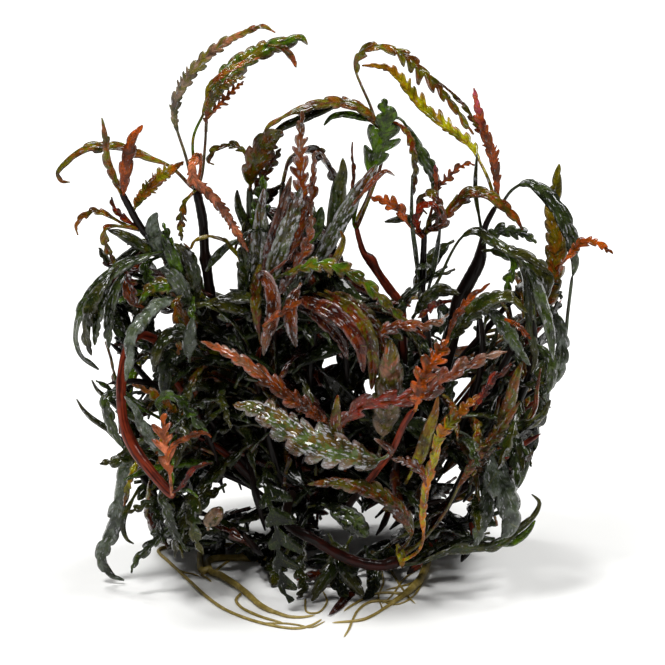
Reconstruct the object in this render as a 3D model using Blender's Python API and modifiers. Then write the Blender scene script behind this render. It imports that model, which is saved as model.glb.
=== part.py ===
"""Hygrophila pinnatifida: a free clump of shoots, pinnate leaves and bare roots, resting on its low leaves.

Routes are written the way the clump is seen from the front, looking down on it a little: how far across,
how high up the view, and how far back, all in millimetres. seen_place() turns them into places in space.
"""
import math
from collections import namedtuple

import bmesh
import bpy
from mathutils import Vector

MM = 0.001
VIEW_LEAN = math.radians(18)
GROUND_SEEN = 15.5

# the gap between pieces, and how far from the inner mass stems and roots start
GAP = 0.3
STEM_MARGIN = 1.3
ROOT_MARGIN = 1.3

BLADE_THICKNESS = 0.7
BLADE_FOLD = 0.16
LOBE_LEAN = 0.45
STALK_HALF_WIDTH = 0.6
TIP_HALF_WIDTH = 0.35

TUBE_STATION = 8.0
CURVE_FINENESS = 40

# The inner mass of small leaves is one full rounded form, flat where it rests and split into six.
BODY_CENTRE = (0, 14, 36)
BODY_RADII = (58, 38, 38)
BODY_FULLNESS = 2.6
LOW_TOP = 25
BACK_FRONT = 26
LEFT_EDGE = -12
RIGHT_EDGE = 13

Stem = namedtuple("Stem", "name look route")
Root = namedtuple("Root", "name look route")
Leaf = namedtuple("Leaf", "name look halves turn lobes stalk route")
Mass = namedtuple("Mass", "name look cuts")

# colour and roughness of each kind of surface
LOOKS = {
    "dark_stem": ((0.012, 0.008, 0.006), 0.28),
    "red_stem": ((0.160, 0.022, 0.015), 0.25),
    "green_stem": ((0.070, 0.085, 0.050), 0.35),
    "root": ((0.220, 0.185, 0.035), 0.50),
    "green_leaf": ((0.030, 0.060, 0.014), 0.30),
    "dark_leaf": ((0.014, 0.025, 0.009), 0.25),
    "olive_leaf": ((0.120, 0.095, 0.018), 0.32),
    "yellow_leaf": ((0.250, 0.210, 0.035), 0.35),
    "bronze_leaf": ((0.085, 0.026, 0.012), 0.28),
    "red_leaf": ((0.130, 0.018, 0.010), 0.28),
    "orange_leaf": ((0.360, 0.085, 0.028), 0.38),
}

# Stems: across, seen height, back and radius at each point. They start inside the mass of small leaves.
STEMS = [
    Stem("stem_left_tall", "dark_stem", [
        (-29, 76, 6, 1.9), (-33.3, 90, 2.5, 1.9), (-36, 98, 1, 1.9), (-37.4, 108, 0, 1.8),
        (-37.7, 110.5, 0, 2.3), (-38, 113, 0, 1.7), (-38.5, 122, 0, 1.7), (-40.3, 131, 0, 1.5)]),
    Stem("stem_left_outer", "dark_stem", [
        (-38, 78, 0, 1.3), (-41.5, 90, -4, 1.3), (-43, 99, -7, 1.3), (-48.5, 110.5, -9, 1.3),
        (-56, 119, -11, 1.3), (-60, 126, -12, 1.2), (-62, 130, -13, 1.2)]),
    Stem("stem_left_red", "red_stem", [
        (-40, 66, 2, 1.5), (-49, 83, -8, 1.5), (-56.5, 88, -22, 1.6), (-60, 84, -29, 1.7),
        (-62, 74, -32, 1.7), (-61.5, 63, -34, 1.7), (-58.5, 55, -37, 2.0), (-53, 47.5, -42, 1.7),
        (-47, 41, -47, 1.6)]),
    Stem("stem_centre_left", "green_stem", [
        (-24, 76, 8, 1.4), (-24.5, 91, 4, 1.4), (-24, 97, 3, 1.4), (-24, 105, 3, 1.4),
        (-24.5, 118, 3, 1.3), (-24.5, 131, 3, 1.2)]),
    Stem("stem_centre_front", "dark_stem", [
        (-17, 76, 0, 1.3), (-17.5, 88, -12, 1.3), (-18.5, 98, -20, 1.3), (-19.3, 106, -23, 1.2)]),
    Stem("stem_centre", "red_stem", [
        (21, 76, 8, 1.7), (21, 90, 5, 1.7), (20.5, 97, 5, 1.7), (17, 102, 5, 1.7), (13.5, 107, 5, 1.6),
        (11.5, 110.5, 5, 2.1), (9.5, 112.5, 5, 1.2), (8, 117, 5, 1.0), (7, 121, 5, 0.9)]),
    Stem("stem_centre_right", "dark_stem", [
        (29, 76, 0, 1.4), (28, 91, -4, 1.4), (26.8, 98, -4, 1.4), (27, 105, -4, 1.3),
        (27.5, 120, -4, 1.1)]),
    Stem("stem_right", "dark_stem", [
        (33, 76, 6, 2.7), (36.5, 90, 3, 2.7), (38, 98, 2, 2.6), (41, 104, 2, 2.4), (44, 110, 2, 2.4),
        (45, 116, 2, 1.3), (46, 121, 2, 1.1), (49, 126, 2, 1.0)]),
    Stem("stem_front", "red_stem", [
        (6, 38, -12, 1.3), (9, 42, -25, 1.3), (14, 49, -38, 1.2), (17.5, 54, -47, 1.1),
        (21, 62, -51, 1.2), (24, 66, -53, 1.3)]),
    Stem("stem_back", "green_stem", [
        (-18, 82, 34, 1.5), (-17, 95, 35, 1.5), (-16, 105, 36, 1.4), (-15.5, 120, 37, 1.4),
        (-15, 134, 37, 1.3)]),
    Stem("runner_front", "red_stem", [
        (-13.5, 36, -14, 1.6), (-13.2, 32.8, -22, 1.6), (-12.6, 30.8, -27, 1.7), (-7.5, 28, -28.5, 1.9),
        (-4, 26, -28, 1.9), (0, 23.5, -28, 1.9), (5, 21, -27.5, 2.0), (10, 19.5, -27, 2.0),
        (15, 19, -26, 2.0),
        (19, 20, -25, 2.4)]),
    Stem("runner_back", "red_stem", [
        (-30, 82, 21, 1.9), (-29.5, 93.5, 21, 1.9), (-25, 96.5, 21, 1.9), (-10, 96.8, 21, 1.8),
        (0, 96.5, 21, 1.8), (13, 95.2, 21, 1.8)]),
    Stem("stalk_right", "green_stem", [
        (52, 64, 2, 0.7), (59, 70, -3, 0.7), (63, 73, -7, 0.7), (66.5, 79, -9, 0.7),
        (69.3, 86, -9, 0.65), (70.3, 95, -8, 0.6), (71.3, 104, -7, 0.6)]),
]

# Roots lie on the ground: across, seen height and radius at each point.
ROOTS = [
    Root("root_left_thin", "root", [
        (-15, 22, 0.6), (-30, 23, 0.6), (-43, 23.2, 0.55), (-49, 22.8, 0.5), (-53.5, 21.5, 0.5),
        (-50, 18.5, 0.5), (-46, 15.5, 0.5), (-42, 12.5, 0.5), (-38, 9.5, 0.5), (-33, 6.5, 0.5),
        (-28, 4.5, 0.45), (-22, 2.8, 0.45), (-15, 1.5, 0.4), (-10, 1.2, 0.4), (-6, 2, 0.4),
        (-3, 3.5, 0.4)]),
    Root("root_left_thick", "root", [
        (-15, 19, 1.0), (-30, 19.6, 1.0), (-37.5, 19, 1.0), (-37, 16, 1.0), (-34, 15, 1.0),
        (-30, 13, 1.0), (-26, 10.5, 1.0), (-22, 7.5, 0.9), (-19, 6, 0.8), (-17, 5.3, 0.6),
        (-13, 4.2, 0.5), (-9, 4, 0.4), (-5, 4.5, 0.4)]),
    Root("root_front", "root", [
        (-27.6, 9.9, 0.45), (-28.8, 8.4, 0.45), (-27.5, 6.8, 0.45), (-25, 5.5, 0.45),
        (-20, 3.8, 0.4), (-14.5, 2.6, 0.4)]),
    Root("root_right", "root", [
        (12, 21.5, 1.2), (25, 21.6, 1.2), (29, 19.5, 1.2), (27.5, 15, 1.2), (24, 11.5, 1.2),
        (21, 9.5, 1.0), (16, 6.5, 0.5), (12, 4.4, 0.45), (8, 3.2, 0.45), (0, 2.6, 0.4)]),
]

# Leaves: half widths left and right of the midrib, how far the upper face is turned to the right of the
# leaf's way (in degrees), how many pairs of lobes, the share of its length that is a bare stalk, then
# across, seen height and back along the midrib.
LEAVES = [
    Leaf("leaf_left_arch", "olive_leaf", (3.4, 3.4), 62, 8, 0.12, [
        (-42, 132.2, 0.5), (-48, 138, 2), (-55.5, 141, 4), (-62, 143.7, 6), (-70, 144.3, 8),
        (-76, 142.3, 9), (-81, 138, 9.5), (-82, 136, 9.5), (-81, 133.8, 9.5), (-78.5, 133.6, 9.5)]),
    Leaf("leaf_left_upright", "olive_leaf", (2.4, 2.4), 30, 4, 0.1, [
        (-62.9, 131.2, -14.8), (-64, 134.5, -17), (-65.5, 139, -19.5), (-66, 145, -21.5), (-67, 151, -23)]),
    Leaf("leaf_left_red", "red_leaf", (2.8, 2.8), 25, 5, 0.1, [
        (-61.2, 131.3, -14.4), (-60.7, 135, -15.5), (-60, 140, -15.5), (-58.5, 145.5, -15.5),
        (-55.5, 149.3, -15.5)]),
    Leaf("leaf_left_toothed", "yellow_leaf", (3.0, 3.0), -25, 5, 0.1, [
        (-58, 126, -10), (-56, 129, -9), (-51, 134, -8), (-47, 136.8, -8), (-43.8, 139, -8)]),
    Leaf("leaf_top_left_tall", "orange_leaf", (3.6, 3.6), -42, 9, 0.2, [
        (-41.3, 132.7, -2), (-43.3, 141, -6), (-46, 150, -10), (-45.8, 156, -12.5), (-42.5, 162.3, -15),
        (-38, 167.5, -17), (-32, 172.3, -19), (-26, 175.3, -20.5), (-20.5, 177.2, -21.5),
        (-16.5, 175.6, -22)]),
    Leaf("leaf_top_left_green", "green_leaf", (3.2, 3.2), -50, 8, 0.2, [
        (-40.3, 133, 2), (-41.3, 140, 6), (-41.3, 147, 9), (-38.5, 153.5, 12), (-34, 162, 15),
        (-28, 169, 18), (-20, 173.4, 20), (-14, 175.4, 21), (-9.5, 176.8, 21), (-7.4, 174.7, 21)]),
    Leaf("leaf_left_salmon", "orange_leaf", (3.2, 3.2), 20, 7, 0.25, [
        (-39.8, 133, -2.6), (-38.8, 138, -6), (-39.6, 140.4, -10), (-41, 137.8, -13),
        (-40.3, 133.5, -13.5), (-37, 130.3, -14), (-33, 126, -14), (-30, 121.5, -14),
        (-27, 116.5, -14), (-24.7, 112.5, -14)]),
    Leaf("leaf_left_silver", "dark_leaf", (3.6, 3.6), 50, 8, 0.1, [
        (-51, 112.3, -12.3), (-56, 111, -16), (-62, 108.3, -19), (-68, 104, -22), (-72.3, 98.5, -23),
        (-75, 92, -23), (-75.6, 86, -23), (-73.4, 81, -23), (-69, 77.8, -23)]),
    Leaf("leaf_left_hanging", "dark_leaf", (3.0, 3.0), 20, 8, 0.2, [
        (-45, 55, 2), (-54, 55, -5), (-59.5, 53, -9), (-62.5, 47, -10), (-64, 38, -10),
        (-66, 29.5, -10), (-68.8, 24, -10), (-69.6, 19.5, -10), (-67, 15.3, -10), (-63, 13.6, -10)]),
    Leaf("leaf_left_tree", "orange_leaf", (3.5, 8.5), 5, 4, 0.1, [
        (-46.7, 42.6, -49), (-47.2, 46, -51), (-48, 52, -52), (-48.8, 59, -52), (-48.6, 65, -51)]),
    Leaf("leaf_centre_arch", "olive_leaf", (3.4, 3.4), 55, 7, 0.3, [
        (8.4, 122, 4), (12, 131, 2.8), (15, 140, 2), (15, 147, 1), (12.5, 151.5, -1),
        (9, 154.5, -3), (4, 156.2, -4), (-2, 156.3, -4.5), (-8, 155, -5), (-14, 152.3, -5),
        (-18.5, 149.7, -5), (-20.6, 146.5, -5)]),
    Leaf("leaf_centre_broad", "dark_leaf", (4.8, 4.8), 12, 6, 0.1, [
        (-24.4, 131.9, 2.2), (-23.3, 137, -2), (-21.5, 141, -4), (-18.5, 145.5, -8), (-14.5, 147.5, -12)]),
    Leaf("leaf_centre_red", "bronze_leaf", (3.4, 3.4), 15, 8, 0.12, [
        (-17.6, 106.5, -23), (-13.5, 110, -23), (-10, 117, -22), (-9, 124, -20),
        (-9, 132, -18.5), (-9.5, 140, -17), (-9, 149, -15), (-8.6, 153.5, -14)]),
    Leaf("leaf_oak_lobed", "green_leaf", (6.2, 6.2), 5, 5, 0.3, [
        (6.5, 122, 3.7), (8, 128.5, -0.5), (10.5, 134.5, -2), (13.2, 141, -2.5), (15.5, 147.5, -3.5),
        (16, 152, -4), (15.2, 157.5, -4)]),
    Leaf("leaf_centre_green_arch", "green_leaf", (4.4, 4.4), -25, 7, 0.15, [
        (-18, 104, -25.3), (-13, 106, -30), (-6, 108.3, -32.5), (0, 108, -34), (6, 105.5, -35),
        (11, 101.8, -35), (16, 97, -34), (20, 93.3, -33), (23, 91, -32)]),
    Leaf("leaf_centre_hanging", "bronze_leaf", (3.6, 3.6), 25, 6, 0.15, [
        (-20.6, 104.5, -24.8), (-20, 105.2, -28), (-18, 103, -31.5), (-16.5, 98, -33.5),
        (-17, 92.5, -34.5), (-18.8, 87.5, -34.5), (-20, 82, -34.5)]),
    Leaf("leaf_top_right_arch", "dark_leaf", (3.4, 3.4), -50, 9, 0.35, [
        (7.6, 122.8, 6.2), (11, 130, 6.5), (13.5, 140, 6), (13.6, 148, 5), (12.5, 152.5, 3),
        (11, 156.5, 1), (8.6, 161.5, -2), (7, 166, -4), (8.4, 170.6, -6), (13.5, 172.4, -8),
        (20, 170.6, -10), (26, 165.8, -12), (31, 160.7, -13), (36, 154.6, -14), (39.5, 149.5, -14),
        (41.5, 146.8, -14)]),
    Leaf("leaf_top_right_serrated", "yellow_leaf", (3.0, 3.0), 40, 10, 0.15, [
        (48.8, 127.2, 3.7), (46.8, 134, 7), (44.3, 139.5, 10), (41.3, 144.3, 13), (36.5, 148.2, 16),
        (31, 152.3, 18), (25.5, 157.3, 20), (21, 163.3, 21), (17, 167.2, 21.5), (12.5, 168.3, 22),
        (9, 168.5, 22)]),
    Leaf("leaf_top_right_pink", "orange_leaf", (2.8, 2.8), 20, 7, 0.15, [
        (49.4, 127.4, 0.6), (49, 133, -2), (47.5, 141, -3), (45, 148, -4), (43.2, 154, -4),
        (41.8, 160.5, -4)]),
    Leaf("leaf_right_brown_arch", "bronze_leaf", (3.2, 3.2), -40, 7, 0.15, [
        (29.2, 119.4, -6), (32, 122, -8), (36, 126, -11), (40, 129.6, -12), (45, 129.6, -13),
        (50, 126.3, -13), (54, 122.8, -13), (56.3, 119, -13)]),
    Leaf("leaf_right_droop", "dark_leaf", (3.4, 3.4), -35, 7, 0.12, [
        (50.3, 126.5, 3), (53.5, 131, 2), (58, 133, 0), (63, 130, -3), (67.5, 124.2, -6),
        (70.5, 118, -7), (72, 110, -7), (71.6, 105.5, -7)]),
    Leaf("leaf_right_upright", "olive_leaf", (3.6, 3.6), 12, 8, 0.4, [
        (44, 76, 2), (50, 83, -1), (57, 88.5, -2), (62, 94, -2), (65, 100, 0), (66.5, 107, 2),
        (67, 113, 4), (67, 118, 6), (66, 125, 9), (67, 131, 11), (68, 139, 13)]),
    Leaf("leaf_right_tip_orange", "orange_leaf", (2.0, 2.0), -15, 4, 0.3, [
        (67.8, 108.7, 0.2), (69, 109.8, -9), (72, 113.5, -12.5), (74.5, 115.4, -13), (78, 115.2, -13),
        (81, 113.4, -13), (83, 112, -13)]),
    Leaf("leaf_right_dark_arch", "dark_leaf", (3.6, 3.6), -45, 7, 0.12, [
        (28.6, 99, -6), (32, 105, -8), (35.5, 112.5, -10), (38.8, 117.2, -11), (43, 118.6, -12),
        (48, 115.5, -14), (53, 112.5, -17), (59, 110.3, -19), (64.5, 105.8, -20)]),
    Leaf("leaf_right_long", "olive_leaf", (4.0, 4.0), -20, 8, 0.12, [
        (21.4, 22.3, -24.6), (26, 25.5, -24.5), (33, 34, -26), (38, 43.5, -28), (43, 51.5, -30),
        (48, 58, -32), (52, 63.3, -33), (55, 68, -34)]),
    Leaf("leaf_right_broad", "dark_leaf", (4.8, 4.8), -10, 6, 0.25, [
        (36, 59, -6), (41, 57.5, -15), (46.5, 52, -22), (49, 46.5, -25), (51.6, 41, -26.5),
        (53, 35.5, -27), (52.5, 30, -27)]),
    Leaf("leaf_right_low", "green_leaf", (3.0, 3.0), 35, 8, 0.12, [
        (21.9, 19.2, -25.4), (26, 19.8, -26.6), (30, 21.3, -27.2), (36, 23.6, -27), (42, 24, -25),
        (49, 24.8, -22), (55, 28.6, -18), (60.5, 33.4, -15), (62.4, 37.4, -14), (60, 40, -14)]),
    Leaf("leaf_front_orange", "orange_leaf", (3.6, 3.6), 25, 7, 0.3, [
        (0, 58, -12), (-2, 62, -26), (-7, 66, -36), (-12.5, 69.8, -42), (-19, 75, -45), (-26, 80.2, -46),
        (-32, 83.6, -46), (-38, 86, -45)]),
    Leaf("leaf_front_patterned", "olive_leaf", (5.4, 5.4), 10, 6, 0.1, [
        (15.8, 52.2, -46.7), (12, 51.3, -49), (6, 53, -52.5), (0, 54.8, -54.5), (-8, 58, -56),
        (-16, 63.4, -55), (-22.5, 67, -53), (-28.5, 67.5, -50)]),
    Leaf("leaf_front_low", "olive_leaf", (3.8, 3.8), 40, 7, 0.12, [
        (19.8, 23.3, -26), (22.3, 25.8, -29.5), (23.6, 29, -33), (22, 33.5, -36), (18.5, 37.7, -38.5),
        (13, 41.3, -40), (7, 43.6, -41), (0, 44.7, -41.5), (-7, 44, -41)]),
    Leaf("leaf_front_red", "red_leaf", (4.4, 4.4), -20, 8, 0.25, [
        (3, 52, -10), (2, 57, -26), (2, 60, -36), (5, 64.5, -41), (11, 68, -44), (18, 68.8, -45.5),
        (26, 71, -45.5), (34, 76, -43.5), (42, 80.5, -40), (51, 83, -36)]),
    Leaf("leaf_front_bright", "orange_leaf", (4.0, 4.0), -8, 5, 0.1, [
        (24.4, 67.2, -53.6), (25.6, 73, -55), (27.5, 77.5, -54.5), (30.5, 82, -53), (33.5, 86.5, -51)]),
    Leaf("leaf_front_tree", "yellow_leaf", (7.0, 4.0), -8, 7, 0.12, [
        (21.8, 20.8, -27.4), (25.5, 23.5, -32), (27, 28, -38), (26.8, 35, -42), (27.7, 43, -45),
        (29.5, 50, -46.5), (32, 58, -47), (37.5, 65, -46.5), (43, 70, -45)]),
    Leaf("leaf_low_hanging", "green_leaf", (6.5, 3.2), 8, 6, 0.25, [
        (-18, 49, -8), (-19.5, 49, -20), (-20.2, 45, -28), (-19, 39, -32), (-16.5, 30, -33.5),
        (-16, 22, -34), (-15, 14, -34), (-12.8, 8, -33.5)]),
    Leaf("leaf_back_left_arch", "green_leaf", (4.0, 4.0), 140, 7, 0.15, [
        (-22, 72, 38), (-28, 82, 46), (-34, 85, 52), (-41, 84, 56), (-47, 79, 57), (-51, 72, 56)]),
    Leaf("leaf_back_right_arch", "olive_leaf", (4.0, 4.0), -140, 7, 0.15, [
        (22, 70, 38), (28, 80, 46), (34, 83, 52), (41, 81.5, 56), (47, 76, 57), (51, 69, 56)]),
    Leaf("leaf_back_tall", "bronze_leaf", (4.0, 4.0), -120, 6, 0.12, [
        (-14.8, 135.6, 37.3), (-13, 141, 39), (-8.5, 144, 42), (-3.5, 142.5, 46), (0, 137.5, 49),
        (1.5, 131, 51)]),
]

# The pieces of the inner mass: each keeps what lies below, above, left, right, before or behind a plane.
MASSES = [
    Mass("foliage_low", "dark_leaf", [("on_ground", 0), ("below", LOW_TOP)]),
    Mass("foliage_left", "dark_leaf", [
        ("above", LOW_TOP), ("left", LEFT_EDGE), ("before", BACK_FRONT)]),
    Mass("foliage_centre", "bronze_leaf", [
        ("above", LOW_TOP), ("right", LEFT_EDGE), ("left", RIGHT_EDGE), ("before", BACK_FRONT)]),
    Mass("foliage_right", "dark_leaf", [
        ("above", LOW_TOP), ("right", RIGHT_EDGE), ("before", BACK_FRONT)]),
    Mass("foliage_back_left", "green_leaf", [
        ("above", LOW_TOP), ("left", 0), ("behind", BACK_FRONT)]),
    Mass("foliage_back_right", "green_leaf", [
        ("above", LOW_TOP), ("right", 0), ("behind", BACK_FRONT)]),
]

# For each kind of cut, the axis it goes by, whether what is kept lies up or down that axis, and the
# distance that it keeps from the plane.
CUTS = {
    "left": (0, -1, GAP / 2),
    "right": (0, 1, GAP / 2),
    "before": (1, -1, GAP / 2),
    "behind": (1, 1, GAP / 2),
    "below": (2, -1, GAP / 2),
    "above": (2, 1, GAP / 2),
    "on_ground": (2, 1, 0),
}


def seen_place(across, seen, back):
    """Return the place in space of a point given as it is seen from the front, in millimetres."""
    height = (seen - GROUND_SEEN - back * math.sin(VIEW_LEAN)) / math.cos(VIEW_LEAN)
    return Vector((across, back, height))


def ground_place(across, seen, radius):
    """Return the place of the middle of a root of this radius that lies on the ground."""
    back = (seen - GROUND_SEEN - radius * math.cos(VIEW_LEAN)) / math.sin(VIEW_LEAN)
    return Vector((across, back, radius))


def smooth_value(before, start, end, after, share):
    """Return a value between start and end on a smooth curve that also heeds their neighbours."""
    square = share * share
    cube = square * share
    return 0.5 * (
        2 * start
        + (end - before) * share
        + (2 * before - 5 * start + 4 * end - after) * square
        + (3 * start - before - 3 * end + after) * cube
    )


def smooth_line(points):
    """Return close points on a smooth curve through the points given."""
    padded = [points[0]] + list(points) + [points[-1]]
    line = []
    for first in range(len(points) - 1):
        for part in range(CURVE_FINENESS):
            line.append(smooth_value(*padded[first:first + 4], part / CURVE_FINENESS))
    line.append(points[-1])
    return line


def inside_body(point, margin):
    """Return whether a point lies in the inner mass of leaves, or within about this margin of it."""
    total = 0.0
    for value, centre, radius in zip(point, BODY_CENTRE, BODY_RADII):
        total += abs((value - centre) / (radius + margin)) ** BODY_FULLNESS
    return total < 1.0


def outside_part(line, margin):
    """Return the part of a line from where it comes out of the inner mass of leaves."""
    start = 0
    while inside_body(line[start].xyz, margin):
        start += 1
    return line[start:]


def even_points(line, steps):
    """Return steps + 1 points, evenly spaced, along a line."""
    lengths = [0.0]
    for start, end in zip(line, line[1:]):
        lengths.append(lengths[-1] + (end - start).xyz.length)
    evenly = []
    place = 0
    for step in range(steps + 1):
        wanted = lengths[-1] * step / steps
        while place < len(line) - 2 and lengths[place + 1] < wanted:
            place += 1
        share = (wanted - lengths[place]) / (lengths[place + 1] - lengths[place])
        evenly.append(line[place].lerp(line[place + 1], min(share, 1.0)))
    return evenly


def route_length(points):
    """Return the length of a route along its points."""
    return sum((end - start).xyz.length for start, end in zip(points, points[1:]))


def make_material(name, look):
    """Return a new material of one kind of surface for the piece of this name."""
    colour, roughness = LOOKS[look]
    material = bpy.data.materials.new(name)
    material.use_nodes = True
    shader = material.node_tree.nodes["Principled BSDF"]
    shader.inputs["Base Color"].default_value = (*colour, 1.0)
    shader.inputs["Roughness"].default_value = roughness
    shader.inputs["Metallic"].default_value = 0.0
    material.diffuse_color = (*colour, 1.0)
    return material


def add_piece(collection, name, look, data):
    """Put mesh or curve data into the scene as the piece of this name."""
    piece = bpy.data.objects.new(name, data)
    data.materials.append(make_material(name, look))
    collection.objects.link(piece)
    return piece


def add_tube(collection, name, look, points, margin):
    """Add a round tube along points that carry a radius as their fourth value, in millimetres."""
    thickest = max(point.w for point in points)
    line = outside_part(smooth_line(points), margin)
    steps = max(3, round(route_length(line) / TUBE_STATION))
    route = even_points(line, steps)
    curve = bpy.data.curves.new(name, "CURVE")
    curve.dimensions = "3D"
    curve.bevel_depth = thickest * MM
    curve.bevel_resolution = 2
    curve.use_fill_caps = True
    spline = curve.splines.new("POLY")
    spline.points.add(len(route) - 1)
    for target, point in zip(spline.points, route):
        target.co = (*(point.xyz * MM), 1.0)
        target.radius = point.w / thickest
    add_piece(collection, name, look, curve)


def add_stem(collection, stem):
    """Add one stem or runner."""
    points = [Vector((*seen_place(*point[:3]), point[3])) for point in stem.route]
    add_tube(collection, stem.name, stem.look, points, STEM_MARGIN)


def add_root(collection, root):
    """Add one root, lying on the ground."""
    points = [Vector((*ground_place(*point), point[2])) for point in root.route]
    add_tube(collection, root.name, root.look, points, ROOT_MARGIN)


def blade_share(along, stalk):
    """Return a blade's half width at a share of its length, as a share of its widest."""
    if along < stalk:
        return 0.0
    return math.sin(math.pi * ((along - stalk) / (1 - stalk)) ** 0.75) ** 0.6


def blade_axes(route, turn):
    """Return for each point of a midrib the way it runs, the way across the blade, and its upper face's."""
    toward_viewer = Vector((0, -math.cos(VIEW_LEAN), math.sin(VIEW_LEAN)))
    axes = []
    for index, _ in enumerate(route):
        after = route[min(index + 1, len(route) - 1)]
        before = route[max(index - 1, 0)]
        along = (after - before).normalized()
        right = along.cross(toward_viewer).normalized()
        facing = right.cross(along)
        face = facing * math.cos(turn) + right * math.sin(turn)
        axes.append((along, along.cross(face), face))
    return axes


def add_leaf(collection, leaf):
    """Add one pinnate leaf: a folded blade whose edge steps out at each lobe and leans to the tip."""
    steps = 2 * leaf.lobes + 1
    line = smooth_line([seen_place(*point) for point in leaf.route])
    route = even_points(outside_part(line, GAP), steps)
    axes = blade_axes(route, math.radians(leaf.turn))
    sheet = bmesh.new()
    bmesh.ops.create_grid(sheet, x_segments=steps, y_segments=2, size=1.0)
    for vertex in sheet.verts:
        index = round((vertex.co.x + 1) / 2 * steps)
        side = round(vertex.co.y)
        along, across, face = axes[index]
        widest = leaf.halves[0] if side > 0 else leaf.halves[1]
        reach = widest * blade_share(index / steps, leaf.stalk)
        if index % 2:
            reach *= 0.5
        least = TIP_HALF_WIDTH if index == steps else STALK_HALF_WIDTH
        reach = max(reach, least)
        lean = LOBE_LEAN * reach if 0 < index < steps else 0.0
        offset = -side * reach * across + abs(side) * (lean * along + BLADE_FOLD * reach * face)
        vertex.co = (route[index] + offset) * MM
    mesh = bpy.data.meshes.new(leaf.name)
    sheet.to_mesh(mesh)
    sheet.free()
    piece = add_piece(collection, leaf.name, leaf.look, mesh)
    thickness = piece.modifiers.new("Thickness", "SOLIDIFY")
    thickness.thickness = BLADE_THICKNESS * MM
    thickness.offset = 0.0


def make_body():
    """Return the inner mass of leaves as one full rounded form."""
    form = bmesh.new()
    bmesh.ops.create_icosphere(form, subdivisions=3, radius=1.0)
    for vertex in form.verts:
        way = vertex.co.normalized()
        reach = sum(abs(part) ** BODY_FULLNESS for part in way) ** (-1 / BODY_FULLNESS)
        spot = [centre + radius * reach * part
                for centre, radius, part in zip(BODY_CENTRE, BODY_RADII, way)]
        vertex.co = Vector(spot) * MM
    return form


def cut_form(form, kind, edge):
    """Cut a form at a plane and close it."""
    axis, way, distance = CUTS[kind]
    normal = Vector((0, 0, 0))
    normal[axis] = -way
    spot = Vector((0, 0, 0))
    spot[axis] = (edge + way * distance) * MM
    everything = list(form.verts) + list(form.edges) + list(form.faces)
    bmesh.ops.bisect_plane(form, geom=everything, plane_co=spot, plane_no=normal, clear_outer=True)
    bmesh.ops.holes_fill(form, edges=form.edges, sides=0)


def add_mass(collection, mass):
    """Add one piece of the inner mass of small leaves."""
    form = make_body()
    for kind, edge in mass.cuts:
        cut_form(form, kind, edge)
    bmesh.ops.recalc_face_normals(form, faces=form.faces)
    mesh = bpy.data.meshes.new(mass.name)
    form.to_mesh(mesh)
    form.free()
    add_piece(collection, mass.name, mass.look, mesh)


def clear_scene():
    """Remove the objects that the scene starts with."""
    for old in list(bpy.data.objects):
        bpy.data.objects.remove(old, do_unlink=True)


def build():
    """Build the whole clump."""
    clear_scene()
    collection = bpy.data.collections.new("hygrophila_pinnatifida")
    bpy.context.scene.collection.children.link(collection)
    for stem in STEMS:
        add_stem(collection, stem)
    for root in ROOTS:
        add_root(collection, root)
    for leaf in LEAVES:
        add_leaf(collection, leaf)
    for mass in MASSES:
        add_mass(collection, mass)


build()
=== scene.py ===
"""Hygrophila pinnatifida: a free clump of shoots, pinnate leaves and bare roots.

Routes are written the way the clump is seen from the front, looking down on it a little: how far across,
how high up the view, and how far back, all in millimetres. seen_place() turns them into places in space.
"""
import math
import random
from collections import namedtuple

import bpy
import numpy as np
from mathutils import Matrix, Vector


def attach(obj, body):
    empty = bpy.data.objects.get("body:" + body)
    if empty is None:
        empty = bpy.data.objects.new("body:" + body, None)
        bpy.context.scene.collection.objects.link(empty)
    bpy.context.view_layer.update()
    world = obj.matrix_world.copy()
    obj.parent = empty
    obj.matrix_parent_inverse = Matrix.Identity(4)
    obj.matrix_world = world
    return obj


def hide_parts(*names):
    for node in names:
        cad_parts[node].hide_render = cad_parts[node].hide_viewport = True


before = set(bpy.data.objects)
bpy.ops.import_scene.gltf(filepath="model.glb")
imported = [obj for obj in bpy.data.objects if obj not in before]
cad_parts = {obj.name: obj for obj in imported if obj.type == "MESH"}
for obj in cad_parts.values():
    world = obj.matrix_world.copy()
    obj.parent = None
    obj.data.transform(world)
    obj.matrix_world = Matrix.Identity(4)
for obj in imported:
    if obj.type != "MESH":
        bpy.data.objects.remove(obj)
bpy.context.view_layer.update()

bl_info = {
    "name": "Hygrophila pinnatifida",
    "version": (1, 0, 0),
    "blender": (4, 5, 0),
    "location": "View3D > Sidebar > Clump",
    "description": "Grows a clump of an aquarium plant around its packed solids",
    "category": "Add Mesh",
}

MM = 0.001
VIEW_LEAN = math.radians(18)
GROUND_SEEN = 15.5
TOWARD_VIEWER = np.array((0.0, -math.cos(VIEW_LEAN), math.sin(VIEW_LEAN)))
UP = np.array((0.0, 0.0, 1.0))

# the camera: what it looks at, how far off it stands and its lens, for the photo's square frame
CAMERA_TARGET = (0.00015, 0.0, 0.0769)
CAMERA_DISTANCE = 1.5
CAMERA_LENS = 270.7
CAMERA_SENSOR = 36.0

# the floor's side and the soft square lights: where each hangs and how wide it is, in metres, and its share
# of the key light's power
FLOOR_SIZE = 9.0
Light = namedtuple("Light", "name place size share")
LIGHTS = (
    Light("key_light", (-0.45, -0.45, 1.30), 0.30, 1.0),
    Light("right_light", (0.65, -0.30, 1.20), 0.30, 0.6),
    Light("back_left_light", (-0.55, 0.75, 1.25), 0.40, 0.6),
    Light("back_right_light", (0.55, 0.80, 1.25), 0.40, 0.6),
)

# how many steps a curve takes from one point of a route to the next
CURVE_FINENESS = 12

# what would sink below the first height is pressed flat between the two, in millimetres
LYING_HEIGHT = 0.9
LEAST_HEIGHT = 0.1

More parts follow.
